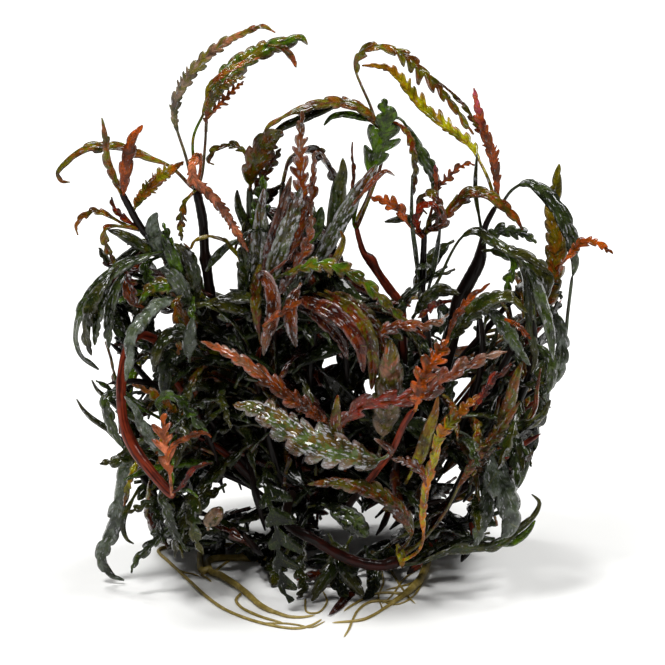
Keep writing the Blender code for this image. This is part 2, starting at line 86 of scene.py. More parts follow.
# how closely stalks, blades and stems are drawn, in millimetres, in columns across and in sides around
STALK_STATION = 1.6
STALK_HALF_WIDTH = 0.55
TIP_HALF_WIDTH = 0.22
MIDRIB_HALF_WIDTH = 0.5
LEAF_COLUMNS = (-1.0, -0.74, -0.46, -0.2, 0.0, 0.2, 0.46, 0.74, 1.0)
MASS_COLUMNS = (-1.0, -0.6, -0.22, 0.0, 0.22, 0.6, 1.0)
INNER_COLUMNS = (-1.0, -0.4, 0.0, 0.4, 1.0)
STATIONS = {LEAF_COLUMNS: 9, MASS_COLUMNS: 6, INNER_COLUMNS: 5}
STEM_SIDES = 14
STEM_STATION = 1.1
THIN_STEM_SIDES = 8
THIN_STEM_STATION = 2.4

# how far leaves twist by chance, in degrees, and about which share of their length, how far along the left
# and right lobes begin, and how far apart the same pattern is read for leaves of unlike tone
LEAF_TWIST = 32
TWIST_MIDDLE = 0.4
LOBE_OFFSETS = (0.0, 0.45)
TONE_SPREAD = 100

# how steeply a blade opens past its stalk, how far its puckers sit off the middle of each half, and how
# strongly its rim rolls under
BLADE_OPENING = 12
PUCKER_SHIFT = 0.8
ROLL_FULLNESS = 1.4

# shares: how much of a lobe's length it may lean before it meets the next one, how much a stalk and a
# midrib lose toward the tip, how thick a stalk is for its width, and how much midrib shows above
LEAN_ROOM = 0.62
STALK_TAPER = 0.6
MIDRIB_TAPER = 0.7
STALK_THICKNESS = 0.75
MIDRIB_ABOVE = 0.25

Stem = namedtuple("Stem", "name look route")
Root = namedtuple("Root", "name route")
Leaf = namedtuple("Leaf", "name look cut halves turn lobes stalk route")
Small = namedtuple("Small", "look cut half turn lobes stalk route")

# How a blade is cut and bent: how deep the notches go, what share of a lobe's room is gap, how far the
# lobes lean to the tip, how much the blade folds up and rolls back at its edge, the height of the puckers
# in mm, how far single lobes tip up or down, and how uneven the lobes are.
Cut = namedtuple("Cut", "depth gap lean fold roll pucker ruffle uneven")
CUTS = {
    "oak": Cut(0.68, 0.10, 0.60, 0.22, 0.20, 0.26, 0.45, 0.55),
    "wavy": Cut(0.36, 0.06, 0.65, 0.34, 0.34, 0.16, 0.35, 0.75),
    "quilted": Cut(0.42, 0.08, 0.45, 0.24, 0.30, 0.44, 0.30, 0.40),
    "folded": Cut(0.24, 0.00, 0.40, 0.80, 0.30, 0.12, 0.25, 0.60),
    "fingered": Cut(0.88, 0.34, 0.85, 0.15, 0.10, 0.08, 0.30, 0.35),
    "lobed": Cut(0.72, 0.16, 0.80, 0.30, 0.24, 0.26, 0.60, 0.50),
    "shallow": Cut(0.42, 0.00, 0.60, 0.34, 0.36, 0.26, 0.40, 0.55),
    "toothed": Cut(0.66, 0.20, 0.90, 0.25, 0.10, 0.16, 0.65, 0.70),
    "ragged": Cut(0.46, 0.20, 0.95, 0.24, 0.16, 0.06, 0.12, 0.95),
    "spiny": Cut(0.50, 0.30, 0.92, 0.20, 0.10, 0.06, 0.15, 0.85),
    "tree": Cut(0.86, 0.30, 0.95, 0.20, 0.06, 0.10, 0.45, 0.50),
    "ribbed": Cut(0.22, 0.00, 0.50, 0.30, 0.30, 0.40, 0.30, 0.40),
    "plain": Cut(0.12, 0.00, 0.30, 0.30, 0.30, 0.30, 0.30, 0.30),
}

# Looks of leaves: a slot name, then the colours of the blade, its margin, its tip and its back,
# how strong the mottling is, the roughness of its wet skin, and how glossy its coat is and how strong its
# painted grey glints are.
Look = namedtuple("Look", "slot blade margin tip back mottle roughness glint")
LOOKS = {
    # deep: the leaves' own dark green deepened nearly to black, as painted shade for the inside of the clump
    "deep": Look("dark_leaf", "shaded_black_green", "dark_green", "shaded_black_green", "stem_black", 0.40, 0.30, 0.05),
    "dark": Look("dark_leaf", "dark_green", "deep_olive", "deep_olive", "maroon", 0.60, 0.26, 0.35),
    "silver": Look("dark_leaf", "dark_green", "grey_green", "dark_green", "maroon", 0.60, 0.28, 0.65),
    # these two looks are greyed partly by painted sheen, over the leaves' own grey-green
    "bloom": Look("dark_leaf", "frost", "dark_green", "frost", "olive", 0.70, 0.30, 0.45),
    "frosted": Look("dark_leaf", "grey_green", "frost", "dark_green", "maroon", 0.85, 0.26, 0.60),
    "patterned": Look("olive_leaf", "grey_green", "bronze", "deep_olive", "bronze", 0.45, 0.22, 1.05),
    "streaked": Look("bronze_leaf", "deep_olive", "grey_green", "bronze", "maroon", 0.75, 0.22, 1.35),
    "speckled": Look("dark_leaf", "shaded_black_green", "grey_green", "shaded_black_green", "bronze", 0.90, 0.26, 0.50),
    "dusky": Look("olive_leaf", "deep_olive", "bronze", "olive", "bronze", 0.80, 0.24, 0.30),
    "rusty": Look("bronze_leaf", "russet", "olive", "orange", "bronze", 0.85, 0.28, 0.20),
    "turning": Look("green_leaf", "bright_green", "russet", "bright_green", "olive", 0.45, 0.28, 0.35),
    "ripe": Look("yellow_leaf", "yellow_olive", "orange", "orange", "olive", 0.75, 0.32, 0.30),
    "green": Look("green_leaf", "bright_green", "dark_green", "bright_green", "olive", 0.80, 0.28, 0.20),
    "olive": Look("olive_leaf", "olive", "russet", "olive", "bronze", 0.75, 0.26, 0.30),
    "yellow": Look("yellow_leaf", "yellow_olive", "russet", "russet", "olive", 0.55, 0.32, 0.25),
    "bronze": Look("bronze_leaf", "bronze", "olive", "bronze", "maroon", 0.80, 0.24, 0.25),
    "rosy": Look("bronze_leaf", "bronze", "russet", "grey_brown", "maroon", 0.70, 0.24, 0.80),
    "red": Look("red_leaf", "red", "maroon", "russet", "maroon", 0.85, 0.24, 0.20),
    "maroon": Look("red_leaf", "maroon", "bronze", "maroon", "maroon", 0.60, 0.20, 0.45),
    "fading": Look("red_leaf", "red", "bronze", "grey_brown", "maroon", 0.85, 0.22, 0.45),
    "orange": Look("orange_leaf", "orange", "russet", "orange", "bronze", 0.90, 0.30, 0.15),
    "salmon": Look("orange_leaf", "salmon", "russet", "salmon", "bronze", 0.80, 0.32, 0.10),
    "pink": Look("orange_leaf", "russet", "orange", "pink", "bronze", 0.80, 0.32, 0.10),
    "faded": Look("orange_leaf", "grey_brown", "olive", "orange", "olive", 0.85, 0.28, 0.45),
    "mellow": Look("orange_leaf", "russet", "olive", "yellow_olive", "olive", 0.75, 0.28, 0.25),
    "aged": Look("orange_leaf", "russet", "orange", "grey_brown", "olive", 0.75, 0.28, 0.45),
    "withered": Look("olive_leaf", "grey_brown", "deep_olive", "bronze", "bronze", 0.95, 0.30, 0.25),
}
STEM_LOOKS = {
    "dark": ("dark_stem", "stem_black", "stem_brown"),
    "red": ("red_stem", "stem_red", "maroon"),
    "maroon": ("red_stem", "maroon", "stem_black"),
    "green": ("green_stem", "stem_green", "stem_brown"),
}

# Stems: across, seen height, back and radius at each point. They start deep inside the clump.
STEMS = [
    Stem("left_tall", "dark", [
        (-18, 40, 12, 1.6), (-26, 62, 9, 1.9), (-29, 76, 6, 1.9), (-33.3, 90, 2.5, 1.9), (-36, 98, 1, 1.9),
        (-37.4, 108, 0, 1.8), (-37.7, 110.5, 0, 2.3), (-38, 113, 0, 1.7), (-38.5, 122, 0, 1.7),
        (-40.3, 131, 0, 1.5), (-40.5, 132.5, 0, 1.1)]),
    Stem("left_outer", "dark", [
        (-24, 50, 6, 1.4), (-38, 78, 0, 1.3), (-41.5, 90, -4, 1.3), (-43, 99, -7, 1.3),
        (-48.5, 110.5, -9, 1.4), (-56, 119, -11, 1.3), (-60, 126, -12, 1.2), (-62, 130, -13, 1.2),
        (-62.2, 131, -13.2, 0.9)]),
    Stem("left_red", "red", [
        (-26, 48, 6, 1.4), (-40, 66, 2, 1.5), (-49, 83, -8, 1.5), (-56.5, 88, -22, 1.6),
        (-60, 84, -29, 1.7), (-62, 74, -32, 1.7), (-61.5, 63, -34, 1.7), (-58.5, 55, -37, 2.1),
        (-53, 47.5, -42, 1.7), (-47, 41, -47, 1.7), (-46.5, 40.2, -48, 1.4)]),
    Stem("centre_left", "green", [
        (-20, 50, 10, 1.4), (-24, 76, 8, 1.4), (-24.5, 91, 4, 1.4), (-24, 97, 3, 1.4), (-24, 105, 3, 1.4),
        (-24.5, 118, 3, 1.3), (-24.5, 131, 3, 1.2), (-24.4, 132, 3, 0.9)]),
    Stem("centre_front", "dark", [
        (-14, 52, 2, 1.3), (-17, 76, 0, 1.3), (-17.5, 88, -12, 1.3), (-18.5, 98, -20, 1.3),
        (-19.3, 106, -23, 1.2)]),
    Stem("centre", "red", [
        (16, 50, 10, 1.6), (21, 76, 8, 1.7), (21, 90, 5, 1.7), (20.5, 97, 5, 1.7), (17, 102, 5, 1.7),
        (13.5, 107, 5, 1.6), (11.5, 110.5, 5, 2.1), (9.5, 112.5, 5, 1.2), (8, 117, 5, 1.0),
        (7, 121.5, 5, 0.9)]),
    Stem("centre_right", "dark", [
        (24, 50, 4, 1.4), (29, 76, 0, 1.4), (28, 91, -4, 1.4), (26.8, 98, -4, 1.4), (27, 105, -4, 1.3),
        (27.5, 120, -4, 1.1)]),
    Stem("right", "dark", [
        (24, 46, 10, 2.2), (33, 76, 6, 2.7), (36.5, 90, 3, 2.7), (38, 98, 2, 2.6), (41, 104, 2, 2.4),
        (44, 110, 2, 2.4), (45, 116, 2, 1.3), (46, 121, 2, 1.1), (49, 126.6, 2, 1.0)]),
    Stem("front", "red", [
        (4, 34, -4, 1.3), (6, 38, -12, 1.3), (9, 42, -25, 1.3), (14, 49, -38, 1.2), (17.5, 54, -47, 1.1),
        (21, 62, -51, 1.2), (24, 66.5, -53, 1.2)]),
    Stem("back", "green", [
        (-16, 55, 30, 1.5), (-18, 82, 34, 1.5), (-17, 95, 35, 1.5), (-16, 105, 36, 1.4),
        (-15.5, 120, 37, 1.4), (-15, 135, 37, 1.2)]),
    Stem("runner_front", "maroon", [
        (-12, 40, -4, 1.5), (-13.5, 36, -14, 1.6), (-13.2, 32.8, -22, 1.6), (-12.6, 30.8, -27, 1.7),
        (-7.5, 28, -28.5, 1.9), (-4, 26, -28, 1.9), (0, 23.5, -28, 1.9), (5, 21, -27.5, 2.0),
        (10, 19.5, -27, 2.0), (15, 19, -26, 2.0), (19, 20, -25, 2.5), (20.5, 20.8, -24.6, 2.3)]),
    Stem("runner_back", "red", [
        (-28, 70, 18, 1.8), (-30, 82, 21, 1.9), (-29.5, 93.5, 21, 1.9), (-25, 96.5, 21, 1.9),
        (-10, 96.8, 21, 1.8), (0, 96.5, 21, 1.8), (13, 95.2, 21, 1.8), (17, 93, 21, 1.4)]),
    Stem("stalk_right", "green", [
        (44, 56, 6, 0.7), (52, 64, 2, 0.7), (59, 70, -3, 0.7), (63, 73, -7, 0.7), (66.5, 79, -9, 0.7),
        (69.3, 86, -9, 0.65), (70.3, 95, -8, 0.6), (71.3, 104, -7, 0.6), (71.6, 106, -7, 0.5)]),
]

# Roots lie on the ground: across, seen height and radius at each point.
ROOTS = [
    Root("left_thin", [
        (-15, 22, 0.6), (-30, 23, 0.6), (-43, 23.2, 0.55), (-49, 22.8, 0.5), (-53.5, 21.5, 0.5),
        (-50, 18.5, 0.5), (-46, 15.5, 0.5), (-42, 12.5, 0.5), (-38, 9.5, 0.5), (-33, 6.5, 0.5),
        (-28, 4.5, 0.45), (-22, 2.8, 0.45), (-15, 1.5, 0.4), (-10, 1.2, 0.4), (-6, 2, 0.35),
        (-3, 3.5, 0.3)]),
    Root("left_thick", [
        (-15, 19, 1.0), (-30, 19.6, 1.0), (-37.5, 19, 1.0), (-37, 16, 1.0), (-34, 15, 1.1),
        (-30, 13, 1.0), (-26, 10.5, 1.0), (-22, 7.5, 0.9), (-19, 6, 0.8), (-17, 5.3, 0.6),
        (-13, 4.2, 0.5), (-9, 4, 0.4), (-5, 4.5, 0.3)]),
    Root("front", [
        (-27.6, 9.9, 0.45), (-28.8, 8.4, 0.45), (-27.5, 6.8, 0.45), (-25, 5.5, 0.45),
        (-20, 3.8, 0.4), (-14.5, 2.6, 0.3)]),
    Root("right", [
        (12, 21.5, 1.2), (25, 21.6, 1.2), (29, 19.5, 1.2), (27.5, 15, 1.2), (24, 11.5, 1.2),
        (21, 9.5, 1.0), (16, 6.5, 0.5), (12, 4.4, 0.45), (8, 3.2, 0.45), (0, 2.6, 0.3)]),
]

# Thin side roots, each grown as part of one of the roots above.
ROOTLETS = [
    Root("left_thin", [(-47, 16.3, 0.3), (-45, 15.6, 0.3), (-43, 15.3, 0.28), (-40, 14.5, 0.25)]),
    Root("left_thin", [(-20, 2.4, 0.3), (-14, 2.4, 0.3), (-10, 2.0, 0.28), (-6, 1.4, 0.25), (-2, 3, 0.2)]),
    Root("left_thick", [(-35.5, 16, 0.4), (-32, 18.5, 0.35), (-28, 20.5, 0.3), (-24, 22.5, 0.3)]),
    Root("left_thick", [(-38.5, 16, 0.6), (-39.5, 14.9, 0.45), (-38, 14.2, 0.35), (-36.5, 13, 0.25)]),
    Root("left_thick", [(-8, 8.5, 0.3), (-7.6, 5.4, 0.3), (-4, 5.2, 0.3), (-1.5, 8, 0.3), (-3, 11, 0.3)]),
    Root("right", [(22, 10, 0.5), (17, 10.3, 0.4), (13, 10, 0.4), (9, 8.5, 0.38), (5, 6.5, 0.35),
                   (3.5, 5.5, 0.25)]),
    Root("right", [(19, 8, 0.45), (12, 8, 0.4), (8, 6, 0.4), (6, 3, 0.35), (5, 1, 0.35), (3.5, -1, 0.25)]),
    Root("right", [(12, 15, 0.5), (11.7, 13, 0.5), (11.5, 11.5, 0.35)]),
    Root("right", [(25, 13, 0.35), (22, 12.2, 0.3), (16, 10.9, 0.25)]),
    Root("right", [(27, 17, 0.35), (22, 14, 0.3), (18, 9.5, 0.28), (15, 7.4, 0.2)]),
    Root("right", [(17, 17.5, 0.4), (20, 13, 0.35), (23, 9.2, 0.3), (25, 7.4, 0.22)]),
    Root("right", [(28, 14, 0.35), (24.5, 9.4, 0.3), (19, 7.2, 0.25), (13, 8.8, 0.2)]),
    Root("right", [(14.5, 18, 0.35), (15.6, 13, 0.3), (14, 9.4, 0.26), (15.4, 5.6, 0.2)]),
    Root("left_thick", [(-37.5, 16.6, 1.1), (-39.6, 16.2, 1.1), (-40.4, 19, 0.9), (-40.5, 22.8, 0.8)]),
]

# Leaves: name, look, how the blade is cut, half widths left and right of the midrib, how far the upper face
# is turned to the right of the leaf's way (in degrees), how many pairs of lobes, the share of its length
# that is a bare stalk, then across, seen height and back along the midrib.
LEAVES_LEFT = [
    Leaf("left_arch", "olive", "wavy", (2.4, 2.2), 42, 7, 0.2, [
        (-41, 131.6, 0), (-42, 132.2, 0.5), (-48, 138, 2), (-55.5, 141, 4), (-62, 143.7, 6), (-70, 144.3, 8),
        (-76, 142.3, 9), (-81, 138, 9.5), (-82, 136, 9.5), (-81, 133.8, 9.5), (-78.5, 133.6, 9.5)]),
    Leaf("left_upright", "olive", "wavy", (1.7, 1.7), 30, 5, 0.1, [
        (-62.1, 129.5, -13), (-62.9, 131.2, -14.8), (-64, 134.5, -17), (-65.5, 139, -19.5),
        (-66, 145, -21.5), (-67, 151, -23)]),
    Leaf("left_red", "orange", "wavy", (2.2, 2.5), 12, 4, 0.05, [
        (-61.5, 129, -13), (-61.2, 131.3, -14.4), (-60.7, 135, -15.5), (-60, 140, -15.5),
        (-58.5, 145.5, -15.5), (-55.5, 149.3, -15.5)]),
    Leaf("left_toothed", "ripe", "ragged", (3.2, 2.8), -8, 11, 0.1, [
        (-59, 124, -11.5), (-58, 126, -10), (-56, 129, -9), (-51, 134, -8), (-47, 136.8, -8),
        (-43.8, 139, -8)]),
    Leaf("top_left_tall", "faded", "ragged", (2.4, 2.4), -15, 17, 0.3, [
        (-40.3, 131, -1), (-41.3, 132.7, -2), (-43.3, 141, -6), (-46, 150, -10), (-45.8, 156, -12.5),
        (-42.5, 162.3, -15), (-38, 167.5, -17), (-32, 172.3, -19), (-26, 175.3, -20.5),
        (-20.5, 177.2, -21.5), (-16.5, 175.6, -22)]),
    Leaf("top_left_green", "turning", "shallow", (3.3, 3.5), -15, 8, 0.36, [
        (-40.4, 131, 0.5), (-40.3, 133, 2), (-41.3, 140, 6), (-41.3, 147, 9), (-38.5, 153.5, 12),
        (-34, 162, 15), (-28, 169, 18), (-20, 173.4, 20), (-14, 175.4, 21), (-9.5, 176.8, 21),
        (-7.4, 174.7, 21)]),
    Leaf("left_salmon", "salmon", "ragged", (2.3, 2.5), 20, 18, 0.2, [
        (-40.3, 131.3, -1.2), (-39.8, 133, -2.6), (-38.8, 138, -6), (-39.6, 140.4, -10),
        (-41, 137.8, -13), (-40.3, 133.5, -13.5), (-37, 130.3, -14), (-33, 126, -14),
        (-30, 121.5, -14), (-27, 116.5, -14), (-24.7, 112.5, -14)]),
    Leaf("left_silver", "silver", "wavy", (3.1, 3.1), 45, 6, 0.1, [
        (-50, 112.2, -10), (-51, 112.3, -12.3), (-56, 111, -16), (-62, 108.3, -19), (-68, 104, -22),
        (-72.3, 98.5, -23), (-75, 92, -23), (-75.6, 86, -23), (-73.4, 81, -23), (-69, 77.8, -23)]),
    Leaf("left_hanging", "bloom", "wavy", (3.2, 3.0), 20, 8, 0.3, [
        (-36, 54, 6), (-45, 55, 2), (-54, 55, -5), (-59.5, 53, -9), (-62.5, 47, -10), (-64, 38, -10),
        (-66, 29.5, -10), (-68.8, 24, -10), (-69.6, 19.5, -10), (-67, 15.3, -10), (-63, 13.6, -10)]),
    Leaf("left_tree", "salmon", "tree", (4.2, 4.2), 5, 3, 0.3, [
        (-46.8, 41, -48.5), (-47.2, 46, -51), (-48, 52, -52), (-48.8, 59, -52), (-48.6, 65, -51)]),
]
LEAVES_CENTRE = [
    Leaf("centre_arch", "olive", "wavy", (3.2, 3.2), 50, 9, 0.42, [
        (7.5, 120, 4.6), (8.4, 122, 4), (12, 131, 2.8), (15, 140, 2), (15, 147, 1), (12.5, 151.5, -1),
        (9, 154.5, -3), (4, 156.2, -4), (-2, 156.3, -4.5), (-8, 155, -5), (-14, 152.3, -5),
        (-18.5, 149.7, -5), (-20.6, 146.5, -5)]),
    Leaf("centre_broad", "olive", "wavy", (4.4, 4.4), 12, 4, 0.1, [
        (-24.4, 130.5, 2.8), (-24.4, 131.9, 2.2), (-23.3, 137, -2), (-21.5, 141, -4), (-18.5, 145.5, -8),
        (-14.5, 147.5, -12)]),
    Leaf("centre_red", "rosy", "toothed", (3.5, 3.5), 15, 10, 0.2, [
        (-18.5, 105, -22.8), (-17.6, 106.5, -23), (-13.5, 110, -23), (-10, 117, -22), (-9, 124, -20),
        (-9, 132, -18.5), (-9.5, 140, -17), (-9, 149, -15), (-8.6, 153.5, -14)]),
    Leaf("oak_lobed", "green", "oak", (5.8, 5.8), 5, 4, 0.46, [
        (7, 120, 4.6), (6.5, 122, 3.7), (8, 128.5, -0.5), (10.5, 134.5, -2), (13.2, 141, -2.5),
        (15.5, 147.5, -3.5), (16, 152, -4), (15.2, 157.5, -4)]),
    Leaf("centre_green_arch", "turning", "lobed", (3.1, 3.1), -15, 8, 0.2, [
        (-19, 103, -22), (-18, 104, -25.3), (-13, 106, -30), (-6, 108.3, -32.5), (0, 108, -34),
        (6, 105.5, -35), (11, 101.8, -35), (16, 97, -34), (20, 93.3, -33), (23, 91, -32)]),
    Leaf("centre_hanging", "rosy", "folded", (3.4, 3.0), 35, 6, 0.1, [
        (-19.5, 104, -22.6), (-20.6, 104.5, -24.8), (-20, 105.2, -28), (-18, 103, -31.5),
        (-16.5, 98, -33.5), (-17, 92.5, -34.5), (-18.8, 87.5, -34.5), (-20, 82, -34.5)]),
]
LEAVES_RIGHT = [
    Leaf("top_right_arch", "olive", "lobed", (2.2, 4.0), -35, 10, 0.50, [
        (7, 121, 5), (7.6, 122.8, 6.2), (11, 130, 6.5), (13.5, 140, 6), (13.6, 148, 5), (12.5, 152.5, 3),
        (11, 156.5, 1), (8.6, 161.5, -2), (7, 166, -4), (8.4, 170.6, -6), (13.5, 172.4, -8),
        (20, 170.6, -10), (26, 165.8, -12), (31, 160.7, -13), (36, 154.6, -14), (39.5, 149.5, -14),
        (41.5, 146.8, -14)]),
    Leaf("top_right_serrated", "yellow", "spiny", (1.5, 3.6), 20, 13, 0.25, [
        (49, 126, 2.6), (48.8, 127.2, 3.7), (46.8, 134, 7), (44.3, 139.5, 10), (41.3, 144.3, 13),
        (36.5, 148.2, 16), (31, 152.3, 18), (25.5, 157.3, 20), (21, 163.3, 21), (17, 167.2, 21.5),
        (12.5, 168.3, 22), (9, 168.5, 22)]),
    Leaf("top_right_pink", "pink", "ragged", (2.5, 2.5), 20, 12, 0.15, [
        (49.2, 126.2, 1.4), (49.4, 127.4, 0.6), (49, 133, -2), (47.5, 141, -3), (45, 148, -4),
        (43.2, 154, -4), (41.8, 160.5, -4)]),
    Leaf("right_brown_arch", "rusty", "wavy", (2.8, 2.8), -35, 8, 0.15, [
        (27.8, 118, -4.6), (29.2, 119.4, -6), (32, 122, -8), (36, 126, -11), (40, 129.6, -12),
        (45, 129.6, -13), (50, 126.3, -13), (54, 122.8, -13), (56.3, 119, -13)]),
    Leaf("right_droop", "silver", "wavy", (3.0, 2.8), -12, 4, 0.22, [
        (49.3, 126, 2.4), (50.3, 126.5, 3), (53.5, 131, 2), (58, 133, 0), (63, 130, -3),
        (67.5, 124.2, -6), (70.5, 118, -7), (72, 110, -7), (71.6, 105.5, -7)]),
    Leaf("right_upright", "mellow", "wavy", (3.7, 3.7), 12, 9, 0.4, [
        (36, 66, 4), (44, 76, 2), (50, 83, -1), (57, 88.5, -2), (62, 94, -2), (65, 100, 0),
        (66.5, 107, 2), (67, 113, 4), (67, 118, 6), (66, 125, 9), (67, 131, 11), (68, 139, 13)]),
    Leaf("right_tip_orange", "orange", "toothed", (2.2, 2.2), -15, 6, 0.45, [
        (67, 107.8, 2), (67.8, 108.7, 0.2), (69, 109.8, -9), (72, 113.5, -12.5), (74.5, 115.4, -13),
        (78, 115.2, -13), (81, 113.4, -13), (83, 112, -13)]),
    Leaf("right_dark_arch", "dark", "wavy", (2.2, 2.2), -15, 4, 0.46, [
        (27, 98, -4.4), (28.6, 99, -6), (32, 105, -8), (35.5, 112.5, -10), (38.8, 117.2, -11),
        (43, 118.6, -12), (48, 115.5, -14), (53, 112.5, -17), (59, 110.3, -19), (64.5, 105.8, -20)]),
    Leaf("right_long", "dusky", "ragged", (2.5, 2.5), -25, 12, 0.48, [
        (20, 21.6, -24.4), (21.4, 22.3, -24.6), (26, 25.5, -24.5), (33, 34, -26), (38, 43.5, -28),
        (43, 51.5, -30), (48, 58, -32), (52, 63.3, -33), (55, 68, -34)]),
    Leaf("right_broad", "bloom", "shallow", (5.2, 5.2), -15, 4, 0.45, [
        (26, 58, 2), (36, 59, -6), (41, 57.5, -15), (46.5, 52, -22), (49, 46.5, -25), (51.6, 41, -26.5),
        (53, 35.5, -27), (52.5, 30, -27), (50.6, 27.4, -27)]),
    Leaf("right_low", "dark", "wavy", (2.0, 2.0), 35, 5, 0.12, [
        (20.6, 19.6, -24.6), (21.9, 19.2, -25.4), (26, 19.8, -26.6), (30, 21.3, -27.2), (36, 23.6, -27),
        (42, 24, -25), (49, 24.8, -22), (55, 28.6, -18), (60.5, 33.4, -15), (62.4, 37.4, -14),
        (60, 40, -14)]),
]
LEAVES_FRONT = [
    Leaf("front_orange", "aged", "ragged", (3.5, 3.5), 25, 12, 0.3, [
        (2, 54, -6), (0, 58, -12), (-2, 62, -26), (-7, 66, -36), (-12.5, 69.8, -42), (-19, 75, -45),
        (-26, 80.2, -46), (-32, 83.6, -46), (-38, 86, -45)]),
    Leaf("front_patterned", "patterned", "quilted", (6.4, 6.6), 14, 8, 0.08, [
        (17, 53.6, -46.5), (15.8, 52.2, -46.7), (12, 51.3, -49), (6, 53, -52.5), (0, 54.8, -54.5),
        (-8, 58, -56), (-16, 63.4, -55), (-22.5, 67, -53), (-28.5, 67.5, -50)]),
    Leaf("front_low", "dusky", "shallow", (3.3, 3.3), 25, 8, 0.24, [
        (19.6, 22, -25), (19.8, 23.3, -26), (22.3, 25.8, -29.5), (23.6, 29, -33), (22, 33.5, -36),
        (18.5, 37.7, -38.5), (13, 41.3, -40), (7, 43.6, -41), (0, 44.7, -41.5), (-7, 44, -41)]),
    Leaf("front_red", "fading", "lobed", (4.0, 4.0), 14, 7, 0.4, [
        (4, 47, -4), (3, 52, -10), (2, 57, -26), (2, 60, -36), (5, 64.5, -41), (11, 68, -44),
        (18, 68.8, -45.5), (26, 71, -45.5), (34, 76, -43.5), (42, 80.5, -40), (51, 83, -36)]),
    Leaf("front_bright", "orange", "toothed", (4.3, 4.3), -8, 6, 0.1, [
        (24, 66, -53), (24.4, 67.2, -53.6), (25.6, 73, -55), (27.5, 77.5, -54.5), (30.5, 82, -53),
        (33.5, 86.5, -51)]),
    Leaf("front_tree", "ripe", "ragged", (2.3, 1.5), -8, 10, 0.30, [
        (20.8, 20.8, -25.6), (21.8, 20.8, -27.4), (25.5, 23.5, -32), (27, 28, -38), (26.8, 35, -42),
        (27.7, 43, -45), (29.5, 50, -46.5), (32, 58, -47), (37.5, 65, -46.5), (43, 70, -45)]),
    Leaf("low_hanging", "deep", "fingered", (8.4, 3.4), 5, 6, 0.35, [
        (-17, 46, 0), (-18, 49, -8), (-19.5, 49, -20), (-20.2, 45, -28), (-19, 39, -32), (-16.5, 30, -33.5),
        (-16, 22, -34), (-15, 14, -34), (-12.8, 8, -33.5)]),
]
LEAVES_BACK = [
    Leaf("back_left_arch", "green", "lobed", (4.0, 4.0), 140, 7, 0.3, [
        (-16, 60, 30), (-22, 72, 38), (-28, 82, 46), (-34, 85, 52), (-41, 84, 56), (-47, 79, 57),
        (-51, 72, 56)]),
    Leaf("back_right_arch", "olive", "lobed", (4.0, 4.0), -140, 7, 0.3, [
        (16, 58, 30), (22, 70, 38), (28, 80, 46), (34, 83, 52), (41, 81.5, 56), (47, 76, 57),
        (51, 69, 56)]),
    Leaf("back_tall", "bronze", "oak", (4.0, 4.0), -120, 6, 0.12, [
        (-15, 134.5, 37), (-14.8, 135.6, 37.3), (-13, 141, 39), (-8.5, 144, 42), (-3.5, 142.5, 46),
        (0, 137.5, 49), (1.5, 131, 51)]),
]

